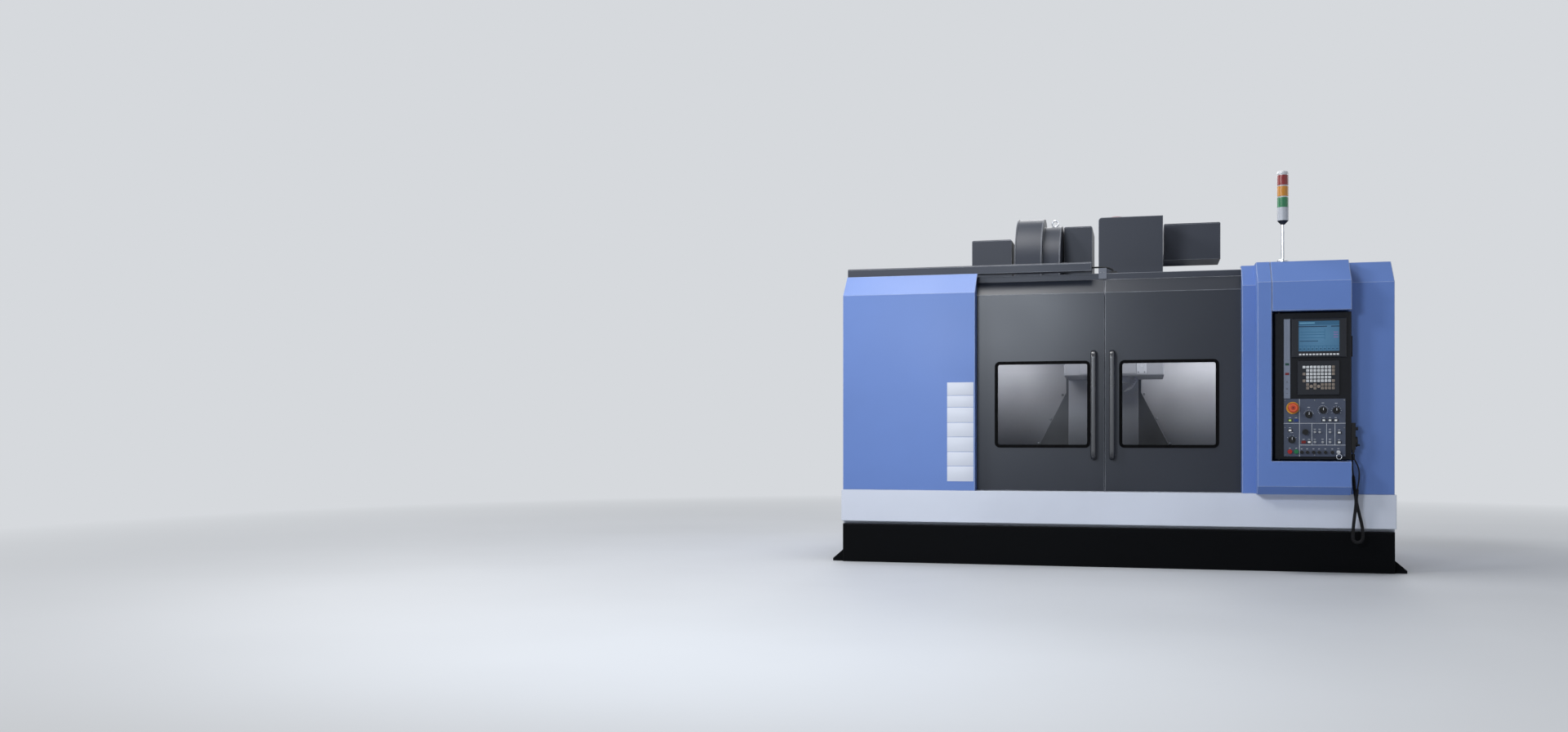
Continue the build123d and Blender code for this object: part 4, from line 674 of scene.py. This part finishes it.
# Finishes of the side strip's lamps, the lamp's foot and the interlock's latch plate
STRIP_LOW, STRIP_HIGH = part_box("side_strip")
STRIP_LAMPS = ((0.431, paint(20, 62, 54)), (0.310, paint(110, 22, 28)))
STRIP_LAMP_HALF = (0.0092, 0.0057)
STRIP_LAMP_PROUD = 0.002
strip_x = (STRIP_LOW.x + STRIP_HIGH.x) / 2
strip_height = STRIP_HIGH.z - STRIP_LOW.z
strip_zones = [
    raised_zone(
        strip_x, STRIP_LOW.z + share * strip_height, *STRIP_LAMP_HALF,
        PLATE_FACE, STRIP_LAMP_PROUD + RAISED, colour,
    )
    for share, colour in STRIP_LAMPS
]
FOOT_LOW, FOOT_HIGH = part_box("lamp_body")
FOOT_CONE = 0.020
foot_zone = (
    ((FOOT_LOW.x + FOOT_HIGH.x) / 2, (FOOT_LOW.y + FOOT_HIGH.y) / 2, FOOT_LOW.z),
    (FOOT_HIGH.x - FOOT_LOW.x, FOOT_HIGH.y - FOOT_LOW.y, FOOT_CONE), paint(34, 36, 40),
)
LATCH_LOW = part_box("interlock_switch")[0]
LATCH_PLACE = (-0.0185, LATCH_LOW.y, 1.545)
LATCH_HALF = (0.0215, 0.0034, 0.035)
latch_zone = (LATCH_PLACE, LATCH_HALF, paint(100, 104, 114))

own_finishes = {
    "estop_button": stop_cap("estop_button", *on_plate(ESTOP_SHARES)),
    "side_strip": moulded(
        "side_strip", paint(120, 128, 144), roughness=0.42, grain=SATIN_DEPTH, boxes=strip_zones,
    ),
    "lamp_body": moulded(
        "lamp_body", paint(172, 176, 184), roughness=0.3, grain=SMOOTH_DEPTH, boxes=[foot_zone],
    ),
    "interlock_switch": moulded("interlock_switch", BLACK, roughness=0.42, boxes=[latch_zone]),
    "operator_plate": moulded(
        "operator_plate", PLATE, roughness=0.42, grain=SATIN_DEPTH, boxes=plate_zones(),
    ),
    "keypad": moulded("keypad", BEZEL, roughness=0.48, boxes=keypad_zones()),
    "display_unit": moulded("display_unit", BEZEL, roughness=0.48, boxes=display_zones()),
    "head_cover": painted_sheet(
        "head_cover", COVER_GREY, roughness=0.44, edge_light=0.55, gloss=0.3, boxes=[cap_zone],
    ),
    "head": painted_sheet("head", paint(162, 165, 174), roughness=0.45, edge_light=0.4, gloss=0.3),
    # Column: painted shade that darkens it towards its foot
    "column": shade_graded_sheet("column", paint(84, 87, 95), paint(8, 9, 11), low=0.66, high=1.04),
}

for part in frame["record"]["subparts"]:
    finish = own_finishes.get(part["node"], finishes[part["material_slot"]])
    for slot in nodes[part["node"]].material_slots:
        slot.material = finish


# Pendant lead: its helix follows the points of the route's smooth curve
def smooth_curve(name, points, order=3):
    """A smooth curve with the points as its control points."""
    data = bpy.data.curves.new(name, "CURVE")
    data.dimensions = "3D"
    spline = data.splines.new("NURBS")
    spline.points.add(len(points) - 1)
    for made, point in zip(spline.points, points):
        made.co = (*point, 1.0)
    spline.order_u = order
    spline.use_endpoint_u = True
    return bpy.data.objects.new(name, data)


def curve_points(curve):
    """Points along a curve that has no thickness."""
    bpy.context.scene.collection.objects.link(curve)
    mesh = bpy.data.meshes.new_from_object(curve.evaluated_get(bpy.context.evaluated_depsgraph_get()))
    points = [vert.co.copy() for vert in mesh.vertices]
    bpy.data.objects.remove(curve)
    return points


def steps_along(points, step):
    """Evenly spaced (point, direction, distance) along a polyline."""
    found, distance, wanted = [], 0.0, 0.0
    for start, end in zip(points, points[1:]):
        length = (end - start).length
        while wanted <= distance + length:
            share = (wanted - distance) / length
            found.append((start.lerp(end, share), (end - start).normalized(), wanted))
            wanted += step
        distance += length
    return found


def nearest_distance(track, place):
    """Distance along the track of its point nearest to a place."""
    return min(track, key=lambda spot: (spot[0] - Vector(place)).length)[2]


def curly_points(route):
    """Control points of the lead: straight ends, and a helix between them that fades in and out."""
    step = CURL_PITCH / CURL_POINTS
    track = steps_along(route, step)
    begin, end = nearest_distance(track, CURL_START), nearest_distance(track, CURL_END)
    reach = (CURL_DIAMETER - CORD_DIAMETER) / 2
    side = track[0][1].orthogonal().normalized()
    found = []
    for index, (place, direction, distance) in enumerate(track):
        side = (side - direction * side.dot(direction)).normalized()
        fade = min(1.0, max(0.0, min(distance - begin, end - distance) / CURL_FADE))
        if fade == 0.0:
            if index % CURL_POINTS == 0:
                found.append(place)
            continue
        angle = 2 * math.pi * (distance - begin) / CURL_PITCH
        across = direction.cross(side)
        found.append(place + reach * fade * (math.cos(angle) * side + math.sin(angle) * across))
    if (found[-1] - route[-1]).length > step:
        found.append(route[-1])
    else:
        found[-1] = route[-1]
    return found


route = curve_points(smooth_curve("cord_route", CORD_ROUTE))
lead = smooth_curve("pendant_lead", curly_points(route))
lead.data.resolution_u = 2
lead.data.bevel_depth = CORD_DIAMETER / 2
lead.data.bevel_resolution = 3
lead.data.use_fill_caps = True
lead.data.materials.append(finishes["cord_black"])
bpy.context.scene.collection.objects.link(lead)
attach(lead, "panel")
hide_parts("pendant_cord")


# Marks on the operator plate: dividing lines, scales round the knobs and short lines at the switches
LINE_PROUD = 0.0003
DIVIDER_WIDTH = 0.0016
TICK_WIDTH = 0.0011
TICK_LENGTH = 0.004
SCALE_RADIUS = 0.0205
SCALES = {"mode_knob": (9, 75), "feed_knob": (15, 135), "spindle_knob": (9, 120), "rapid_knob": (4, 60)}

# Lines at the switches: places, rise above them and half length
LEGEND_WIDTH = 0.0018
LEGEND_GROUPS = (
    (KNOB_SHARES.values(), 0.036, 0.006),
    (TOGGLE_SHARES, 0.014, 0.005),
    (SMALL_KNOB_SHARES, 0.017, 0.004),
    ([shares for shares, _ in (*PUSH_COLOURS, *LAMP_COLOURS)], 0.013, 0.005),
    (((0.098, 0.084), (0.202, 0.084)), 0.017, 0.004),
    (((0.882, 0.076),), 0.018, 0.005),
)


def plate_line(mesh, start, end, width, surface=PLATE_FACE):
    """A thin raised line on the plate, or on another front face, between two places."""
    start, end = Vector(start), Vector(end)
    along = (end - start).normalized()
    across = Vector((-along.y, along.x)) * width / 2
    face = [start - across, end - across, end + across, start + across]
    lower = [mesh.verts.new((spot.x, surface, spot.y)) for spot in face]
    upper = [mesh.verts.new((spot.x, surface - LINE_PROUD, spot.y)) for spot in face]
    mesh.faces.new(upper)
    bridge(mesh, lower, upper)


def plate_marks():
    """All printed lines of the plate as one piece."""
    mesh = bmesh.new()
    for column, low, high in DIVIDER_COLUMN_SHARES:
        plate_line(mesh, on_plate((column, low)), on_plate((column, high)), DIVIDER_WIDTH)
    for row, low, high in DIVIDER_ROW_SHARES:
        plate_line(mesh, on_plate((low, row)), on_plate((high, row)), DIVIDER_WIDTH)
    for knob, (count, reach) in SCALES.items():
        centre = Vector(on_plate(KNOB_SHARES[knob]))
        for index in range(count):
            angle = math.radians(-reach + 2 * reach * index / (count - 1))
            ray = Vector((math.sin(angle), math.cos(angle)))
            start = centre + ray * SCALE_RADIUS
            plate_line(mesh, start, start + ray * TICK_LENGTH, TICK_WIDTH)
    for places, rise, reach in LEGEND_GROUPS:
        for x, z in map(on_plate, places):
            plate_line(mesh, (x - reach, z + rise), (x + reach, z + rise), LEGEND_WIDTH)
    bmesh.ops.recalc_face_normals(mesh, faces=mesh.faces)
    return mesh


mark_white = moulded("mark_white", MARK, roughness=0.5, grain=PRINT_DEPTH)
piece("plate_marks", plate_marks(), mark_white, "panel")

# Pointer lines on the turning knobs
KNOB_TOP = 0.0203
POINTER_WIDTH = 0.0022
POINTER_LENGTH = 0.012
for knob, shares in KNOB_SHARES.items():
    x, z = on_plate(shares)
    pointer = bmesh.new()
    slab(
        pointer, (x - POINTER_WIDTH / 2, PLATE_FACE - KNOB_TOP - LINE_PROUD, z),
        (x + POINTER_WIDTH / 2, PLATE_FACE - KNOB_TOP + LINE_PROUD, z + POINTER_LENGTH),
    )
    piece(knob + "_pointer", pointer, mark_white, knob)

# Short dark lines on the keys and on the side strip
ENTRY_DROP = 0.0425
LEFT_KEY_ROWS = (-2, 0, 2)
RIGHT_KEY_ROWS = (-2, 0, 1, 2)
ENTRY_KEY_COLUMNS = (-3, -1, 1, 2, 3, 4)
KEY_LINES = ((0.0015, 0.0028), (-0.0024, 0.0016))
KEY_LINE_WIDTH = 0.0014
STRIP_MARKS = (
    ((-0.005, 0.943), (0.0, 0.954)), ((0.0, 0.954), (0.005, 0.943)),
    ((-0.005, 0.911), (0.005, 0.921)), ((-0.005, 0.921), (0.005, 0.911)), ((-0.005, 0.893), (0.005, 0.893)),
)


def key_places():
    """Middles of the square keys."""
    middle = keypad_middle
    reach = (KEY_COLUMNS - 1) // 2
    rise = (KEY_ROWS - 1) // 2
    places = [
        (middle.x + column * KEY_PITCH, letters_z + row * KEY_PITCH)
        for column in range(-reach, reach + 1) for row in range(-rise, rise + 1)
    ]
    places += [(middle.x - side_column, letters_z + row * KEY_PITCH) for row in LEFT_KEY_ROWS]
    places += [(middle.x + side_column, letters_z + row * KEY_PITCH) for row in RIGHT_KEY_ROWS]
    places += [
        (middle.x + column * KEY_PITCH, middle.z - ENTRY_DROP + half * KEY_PITCH)
        for column in ENTRY_KEY_COLUMNS for half in (-0.5, 0.5)
    ]
    return places


dark_lines = bmesh.new()
for x, z in key_places():
    for rise, reach in KEY_LINES:
        plate_line(dark_lines, (x - reach, z + rise), (x + reach, z + rise), KEY_LINE_WIDTH, KEYPAD_LOW.y)
for (start, low), (end, high) in STRIP_MARKS:
    plate_line(dark_lines, (strip_x + start, low), (strip_x + end, high), KEY_LINE_WIDTH)
bmesh.ops.recalc_face_normals(dark_lines, faces=dark_lines.faces)
mark_dark = moulded("mark_dark", paint(46, 48, 54), roughness=0.5, grain=PRINT_DEPTH)
piece("dark_marks", dark_lines, mark_dark, "panel")

# Plain plates on the left front panel, and a plate with a round sight on the head
LABEL_SIDES = (-0.8238, -0.6832)
LABEL_TOP = 0.9677
LABEL_HEIGHTS = (0.069, 0.061, 0.079, 0.075, 0.077, 0.074, 0.080)
LABEL_GAP = 0.002
LABEL_THICKNESS = 0.0008
PLATE_FOLD = 0.001
ROUND_SHARE = 1 / 3
plate_white = painted_sheet(
    "plate_white", paint(200, 204, 214), roughness=0.4, edge_light=0.2, gloss=0.3, peel=PRINT_DEPTH,
    fold=PLATE_FOLD,
)
label_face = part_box("left_front_panel")[0].y
labels = bmesh.new()
label_top = LABEL_TOP
for height in LABEL_HEIGHTS:
    slab(
        labels, (LABEL_SIDES[0], label_face - LABEL_THICKNESS, label_top - height),
        (LABEL_SIDES[1], label_face, label_top), LABEL_THICKNESS * ROUND_SHARE,
    )
    label_top -= height + LABEL_GAP
piece("panel_plates", labels, plate_white, "base")

HEAD_FACE = -0.605
HEAD_PLATE = ((0.155, 1.024), (0.207, 1.110))
HEAD_PLATE_THICKNESS = 0.003
SIGHT_PLACE = (0.182, 1.073)
SIGHT_PROFILE = ((0.013, 0.0), (0.013, 0.004), (0.010, 0.004), (0.009, 0.002))
head_plate = bmesh.new()
(left, base), (right, top) = HEAD_PLATE
head_plate_face = HEAD_FACE - HEAD_PLATE_THICKNESS
slab(
    head_plate, (left, head_plate_face, base), (right, HEAD_FACE, top),
    HEAD_PLATE_THICKNESS * ROUND_SHARE,
)
turned(head_plate, (SIGHT_PLACE[0], head_plate_face, SIGHT_PLACE[1]), FRONT, SIGHT_PROFILE, steps=24)
piece("head_plate", head_plate, plate_white, "head")

# Rubber seal on the left door's edge, behind the gap between the doors
SEAL_PROFILE = ((-0.030, -0.9530), (-0.030, -0.9490), (0.008, -0.9495), (0.008, -0.9515), (-0.010, -0.9530))
SEAL_RANGE = (0.414, 1.430)
seal = bmesh.new()
ends = [[seal.verts.new((x, y, z)) for x, y in SEAL_PROFILE] for z in SEAL_RANGE]
seal.faces.new(ends[0])
seal.faces.new(ends[1])
bridge(seal, *ends)
bmesh.ops.recalc_face_normals(seal, faces=seal.faces)
piece("door_seal", seal, finishes["gasket"], "left_door")

# Raised rims round the magazine drum, open at its mouth
DRUM_MIDDLE = (-0.250, 1.605)
RIM_REACH = math.radians(148)
RIM_STEPS = 72
RIM_INSET = 0.001
RIM_PROUD = 0.004
RIMS = ((0.335, -0.514, -0.507), (0.335, -0.369, -0.362), (0.290, -0.270, -0.263))


def rim(mesh, radius, start, end):
    """A band round the drum between two X stations."""
    rings = []
    for step in range(RIM_STEPS + 1):
        angle = -RIM_REACH + 2 * RIM_REACH * step / RIM_STEPS
        ring = []
        for x, reach in ((start, -RIM_INSET), (start, RIM_PROUD), (end, RIM_PROUD), (end, -RIM_INSET)):
            y = DRUM_MIDDLE[0] + (radius + reach) * math.sin(angle)
            z = DRUM_MIDDLE[1] + (radius + reach) * math.cos(angle)
            ring.append(mesh.verts.new((x, y, z)))
        rings.append(ring)
    for first, second in zip(rings, rings[1:]):
        bridge(mesh, first, second)
    mesh.faces.new(rings[0])
    mesh.faces.new(rings[-1])


rims = bmesh.new()
for radius, start, end in RIMS:
    rim(rims, radius, start, end)
bmesh.ops.recalc_face_normals(rims, faces=rims.faces)
piece("drum_rims", rims, finishes["cover_grey"], "base")

# Electrical cabinet: an open sheet shell with a mounting plate, wiring ducts and rows of units
CABINET_LOW, CABINET_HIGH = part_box("electrical_cabinet")
CABINET_WALL = 0.003
CABINET_LIP = 0.025
MOUNT_GAP = 0.020
MOUNT_THICKNESS = 0.0025
MOUNT_MARGIN = 0.050
BOSS_RADIUS = 0.008
BOSS_INSET_X = 0.100
BOSS_INSET_Z = 0.075
DUCT_DEPTH = 0.055
DUCT_WIDTH = 0.0275
DUCT_ROWS = (0.22, 0.42, 0.66, 0.90, 1.13, 1.56)
UNIT_ROUND = 0.0015
FACE_SHARE = 0.62
FACE_PROUD_SHARE = 0.12

# Rows of units: base, size, count and gap
UNIT_ROWS = {
    "cabinet_drives": [(1.16, (0.088, 0.190, 0.370), 7, 0.012), (0.70, (0.045, 0.085, 0.090), 13, 0.005)],
    "cabinet_modules": [
        (0.945, (0.018, 0.070, 0.090), 32, 0.001), (0.475, (0.022, 0.100, 0.110), 26, 0.003),
        (0.275, (0.010, 0.045, 0.060), 60, 0.0005),
    ],
}
mount_y = CABINET_LOW.y + CABINET_WALL + MOUNT_GAP + MOUNT_THICKNESS


def cabinet_ring(mesh, inset, y):
    """A rectangle at one depth, moved in from the cabinet's outline."""
    low, high = CABINET_LOW, CABINET_HIGH
    sides, levels = (low.x + inset, high.x - inset), (low.z + inset, high.z - inset)
    return [mesh.verts.new((sides[x], y, levels[z])) for x, z in ((0, 0), (1, 0), (1, 1), (0, 1))]


def cabinet_shell():
    """Folded sheet box, open to the rear behind a lip."""
    mesh = bmesh.new()
    back, mouth = CABINET_LOW.y, CABINET_HIGH.y
    stations = (
        (0, back), (0, mouth), (CABINET_LIP, mouth), (CABINET_LIP, mouth - CABINET_WALL),
        (CABINET_WALL, mouth - CABINET_WALL), (CABINET_WALL, back + CABINET_WALL),
    )
    rings = [cabinet_ring(mesh, inset, y) for inset, y in stations]
    for first, second in zip(rings, rings[1:]):
        bridge(mesh, first, second)
    mesh.faces.new(rings[0])
    mesh.faces.new(rings[-1])
    bmesh.ops.recalc_face_normals(mesh, faces=mesh.faces)
    return mesh


def unit_rows(rows):
    """Rows of units side by side on the mounting plate, each with a narrower raised face."""
    mesh = bmesh.new()
    for base, (width, depth, height), count, gap in rows:
        for index in range(count):
            middle = (index - (count - 1) / 2) * (width + gap)
            left, right = middle - width / 2, middle + width / 2
            face = mount_y + depth
            slab(mesh, (left, mount_y, base), (right, face, base + height), UNIT_ROUND)
            rise = height * (1 - FACE_SHARE) / 2
            slab(
                mesh, (left + UNIT_ROUND, face, base + rise),
                (right - UNIT_ROUND, face + depth * FACE_PROUD_SHARE, base + height - rise), UNIT_ROUND,
            )
    return mesh


def wiring_ducts():
    """Covered ducts between the rows and down both sides."""
    mesh = bmesh.new()
    side = CABINET_HIGH.x - MOUNT_MARGIN - 2 * DUCT_WIDTH
    face = mount_y + DUCT_DEPTH
    for base in DUCT_ROWS:
        slab(mesh, (-side, mount_y, base), (side, face, base + DUCT_WIDTH), UNIT_ROUND)
    top = DUCT_ROWS[-1] + DUCT_WIDTH
    for x in (-side - DUCT_WIDTH, side):
        slab(mesh, (x, mount_y, DUCT_ROWS[0]), (x + DUCT_WIDTH, face, top), UNIT_ROUND)
    return mesh


def mounting_plate():
    """Flat sheet that stands off the shell on four bosses."""
    mesh = bmesh.new()
    slab(
        mesh, (CABINET_LOW.x + MOUNT_MARGIN, mount_y - MOUNT_THICKNESS, CABINET_LOW.z + MOUNT_MARGIN),
        (CABINET_HIGH.x - MOUNT_MARGIN, mount_y, CABINET_HIGH.z - MOUNT_MARGIN),
        MOUNT_THICKNESS * ROUND_SHARE,
    )
    profile = ((BOSS_RADIUS, 0.0), (BOSS_RADIUS, MOUNT_GAP))
    for x in (CABINET_LOW.x + BOSS_INSET_X, CABINET_HIGH.x - BOSS_INSET_X):
        for z in (CABINET_LOW.z + BOSS_INSET_Z, CABINET_HIGH.z - BOSS_INSET_Z):
            turned(mesh, (x, CABINET_LOW.y + CABINET_WALL, z), REAR, profile, steps=12)
    return mesh


mount_metal = machined_metal("mounting_plate", paint(170, 172, 176), roughness=0.45, stretch=(1, 1, 0.05))
duct_grey = moulded("wiring_ducts", paint(128, 131, 136), roughness=0.5)
unit_finishes = {
    "cabinet_drives": moulded("cabinet_drives", paint(64, 67, 74), roughness=0.45),
    "cabinet_modules": moulded("cabinet_modules", paint(198, 200, 200), roughness=0.45),
}
cabinet = piece("cabinet_shell", cabinet_shell(), finishes["cover_grey"], "base")
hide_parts("electrical_cabinet")
piece("mounting_plate", mounting_plate(), mount_metal, "base")
piece("wiring_ducts", wiring_ducts(), duct_grey, "base")
for name, rows in UNIT_ROWS.items():
    piece(name, unit_rows(rows), unit_finishes[name], "base")

# Screws
PLATE_SCREW = 0.0034
SMALL_SCREW = 0.004
COVER_SCREW = 0.006
SHEET_SCREW = 0.007
screw_steel = machined_metal("screw_steel", paint(128, 131, 137), roughness=0.34, stretch=(1, 1, 1))


def screws(name, places, direction, radius, body):
    """A set of screw heads that look one way."""
    mesh = bmesh.new()
    for place in places:
        button_screw(mesh, place, direction, radius)
    piece(name, mesh, screw_steel, body)


def round_the_edge(low, high, inset):
    """Corners and edge middles of a rectangle, moved in from its edge."""
    (left, base), (right, top) = low, high
    across = (left + inset, (left + right) / 2, right - inset)
    upward = (base + inset, (base + top) / 2, top - inset)
    return [(x, z) for x in across for z in upward if (x, z) != (across[1], upward[1])]


PLATE_SCREWS = (
    (0.5, 0.975), (0.5, 0.025), (0.02, 0.5), (0.98, 0.5),
    (0.02, 0.975), (0.98, 0.975), (0.02, 0.025), (0.98, 0.025),
)
plate_spots = [on_plate(shares) for shares in PLATE_SCREWS]
screws("plate_screws", [(x, PLATE_FACE, z) for x, z in plate_spots], FRONT, PLATE_SCREW, "panel")

SHEET_FACE = 0.205
SHEET_SCREWS = (
    (-0.2907, 0.9349), (-0.3642, 0.7867), (-0.4370, 0.6383),
    (0.1947, 0.9367), (0.2677, 0.7872), (0.3423, 0.6368),
)
screws("sheet_screws", [(x, SHEET_FACE, z) for x, z in SHEET_SCREWS], FRONT, SHEET_SCREW, "base")
LATCH_SCREWS = ((-0.0290, 1.549), (-0.0128, 1.549))
screws("latch_screws", [(x, LATCH_LOW.y, z) for x, z in LATCH_SCREWS], FRONT, SMALL_SCREW, "base")
SIGHT_SCREWS = ((0.163, 1.033), (0.197, 1.033))
screws("sight_screws", [(x, head_plate_face, z) for x, z in SIGHT_SCREWS], FRONT, SMALL_SCREW, "head")

SIDE_COVER_SHARES = (0.29, 0.66)
SIDE_COVER_WIDTH = 0.33
COVER_RANGE = (0.4726, 1.2188)
COVER_INSET = 0.022
for side, direction in (("left", LEFT), ("right", RIGHT)):
    low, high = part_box(side + "_side_panel")
    face = low.x if side == "left" else high.x
    length = high.y - low.y
    spots = []
    for share in SIDE_COVER_SHARES:
        middle, half = low.y + share * length, SIDE_COVER_WIDTH * length / 2
        spots += round_the_edge((middle - half, COVER_RANGE[0]), (middle + half, COVER_RANGE[1]), COVER_INSET)
    screws(side + "_cover_screws", [(face, y, z) for y, z in spots], direction, COVER_SCREW, "base")

REAR_FACE = 0.718
REAR_COVER_SIDES = (0.619, 1.219)
rear_spots = []
for side in (-1, 1):
    near, far = sorted(side * x for x in REAR_COVER_SIDES)
    rear_spots += round_the_edge((near, COVER_RANGE[0]), (far, COVER_RANGE[1]), COVER_INSET)
screws("rear_cover_screws", [(x, REAR_FACE, z) for x, z in rear_spots], REAR, COVER_SCREW, "base")


def soft_light(name, place, target, size, power, tint):
    """An area lamp that points at a target and isn't seen itself."""
    data = bpy.data.lights.new(name, "AREA")
    data.shape = "RECTANGLE"
    data.size, data.size_y = size
    data.energy = power
    data.color = tint
    made = bpy.data.objects.new(name, data)
    made.location = place
    made.rotation_euler = (Vector(target) - Vector(place)).to_track_quat("-Z", "Y").to_euler()
    made.visible_camera = False
    bpy.context.scene.collection.objects.link(made)


# Lights: place, target, size, power and tint
AIM = (-0.4, -0.6, 1.0)
NEUTRAL = (1, 1, 1)
LIGHTS = (
    ("key_light", (-3.7, -4.6, 3.5), AIM, (1.3, 1.1), 112, (1.0, 0.985, 0.97)),
    ("sheen_light", (-1.2, -5.7, 1.9), (-0.6, -1.0, 1.3), (0.9, 0.6), 84, (0.84, 0.91, 1.0)),
    ("fill_light", (5.5, -5.5, 3.2), AIM, (3.0, 3.0), 15, (0.95, 0.97, 1.0)),
    ("top_light", (-1.15, -1.2, 4.6), (-1.0, -1.05, 1.5), (2.2, 1.6), 105, NEUTRAL),
    ("back_light", (0.0, 6.0, 4.6), (0.0, 0.7, 0.9), (4.0, 3.0), 170, NEUTRAL),
    ("left_light", (-6.0, 1.8, 4.0), (-1.4, 0.0, 0.8), (3.0, 3.0), 75, NEUTRAL),
    ("right_light", (6.0, 1.8, 4.0), (1.4, 0.0, 0.8), (3.0, 3.0), 75, NEUTRAL),
    ("left_work_lamp", (-0.68, -0.40, 1.50), (-0.68, -0.40, 0.0), (0.6, 0.8), 11, NEUTRAL),
    ("right_work_lamp", (0.72, -0.40, 1.50), (0.72, -0.40, 0.0), (0.6, 0.8), 11, NEUTRAL),
    ("door_work_lamp", (0.03, -0.93, 1.22), (0.03, 0.0, 1.18), (1.2, 0.3), 2.4, NEUTRAL),
)
for light in LIGHTS:
    soft_light(*light)

# Pale floor that meets the background without a line
FLOOR_REACH = 60
FADE_START = 2.6
FADE_END = 8
PALE = paint(214, 217, 221)
FLOOR = paint(190, 193, 198)
WORLD_TINT = (0.94, 0.97, 1.0, 1.0)
WORLD_STRENGTH = 0.17


def pale_floor():
    """A flat pale floor that fades into the background far from the machine."""
    mesh = bmesh.new()
    bmesh.ops.create_grid(mesh, x_segments=1, y_segments=1, size=FLOOR_REACH)
    data = bpy.data.meshes.new("floor")
    mesh.to_mesh(data)
    mesh.free()
    made = bpy.data.objects.new("floor", data)
    bpy.context.scene.collection.objects.link(made)
    finish = Finish("floor")
    finish.set(Base_Color=finish.mottle(FLOOR, amount=0.03, scale=0.8), Roughness=0.55)
    away = finish.node("ShaderNodeVectorMath", operation="LENGTH")
    finish.feed(away.inputs[0], finish.place)
    far = finish.spread(away.outputs["Value"], 0.0, 1.0, start=FADE_START, end=FADE_END)
    glow = finish.node("ShaderNodeEmission")
    finish.feed(glow.inputs["Color"], PALE)
    blend = finish.node("ShaderNodeMixShader")
    finish.feed(blend.inputs[0], far)
    finish.feed(blend.inputs[1], finish.shader.outputs[0])
    finish.feed(blend.inputs[2], glow.outputs[0])
    finish.feed(finish.tree.nodes["Material Output"].inputs["Surface"], blend.outputs[0])
    data.materials.append(finish.material)
    made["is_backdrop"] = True


def pale_world():
    """Even soft light, with a pale background where it is seen."""
    world = bpy.data.worlds.new("world")
    world.use_nodes = True
    tree = world.node_tree
    light = tree.nodes["Background"]
    light.inputs["Color"].default_value = WORLD_TINT
    light.inputs["Strength"].default_value = WORLD_STRENGTH
    seen = tree.nodes.new("ShaderNodeBackground")
    seen.inputs["Color"].default_value = PALE
    rays = tree.nodes.new("ShaderNodeLightPath")
    blend = tree.nodes.new("ShaderNodeMixShader")
    shown = rays.outputs["Is Camera Ray"]
    for kind in ("Is Glossy Ray", "Is Transmission Ray"):
        either = tree.nodes.new("ShaderNodeMath")
        either.operation = "MAXIMUM"
        tree.links.new(shown, either.inputs[0])
        tree.links.new(rays.outputs[kind], either.inputs[1])
        shown = either.outputs[0]
    tree.links.new(shown, blend.inputs[0])
    tree.links.new(light.outputs[0], blend.inputs[1])
    tree.links.new(seen.outputs[0], blend.inputs[2])
    tree.links.new(blend.outputs[0], tree.nodes["World Output"].inputs["Surface"])
    bpy.context.scene.world = world


pale_floor()
pale_world()

# Camera
camera_data = bpy.data.cameras.new("camera")
camera_data.sensor_width = SENSOR_WIDTH
camera_data.lens = LENS
camera_data.shift_y = VIEW_SHIFT
camera = bpy.data.objects.new("camera", camera_data)
camera.location = CAMERA_PLACE
camera.rotation_euler = (math.pi / 2, 0, CAMERA_TURN)
bpy.context.scene.collection.objects.link(camera)
bpy.context.scene.camera = camera
bpy.context.scene.view_settings.view_transform = "Standard"

# The dressed model's box
low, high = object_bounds()
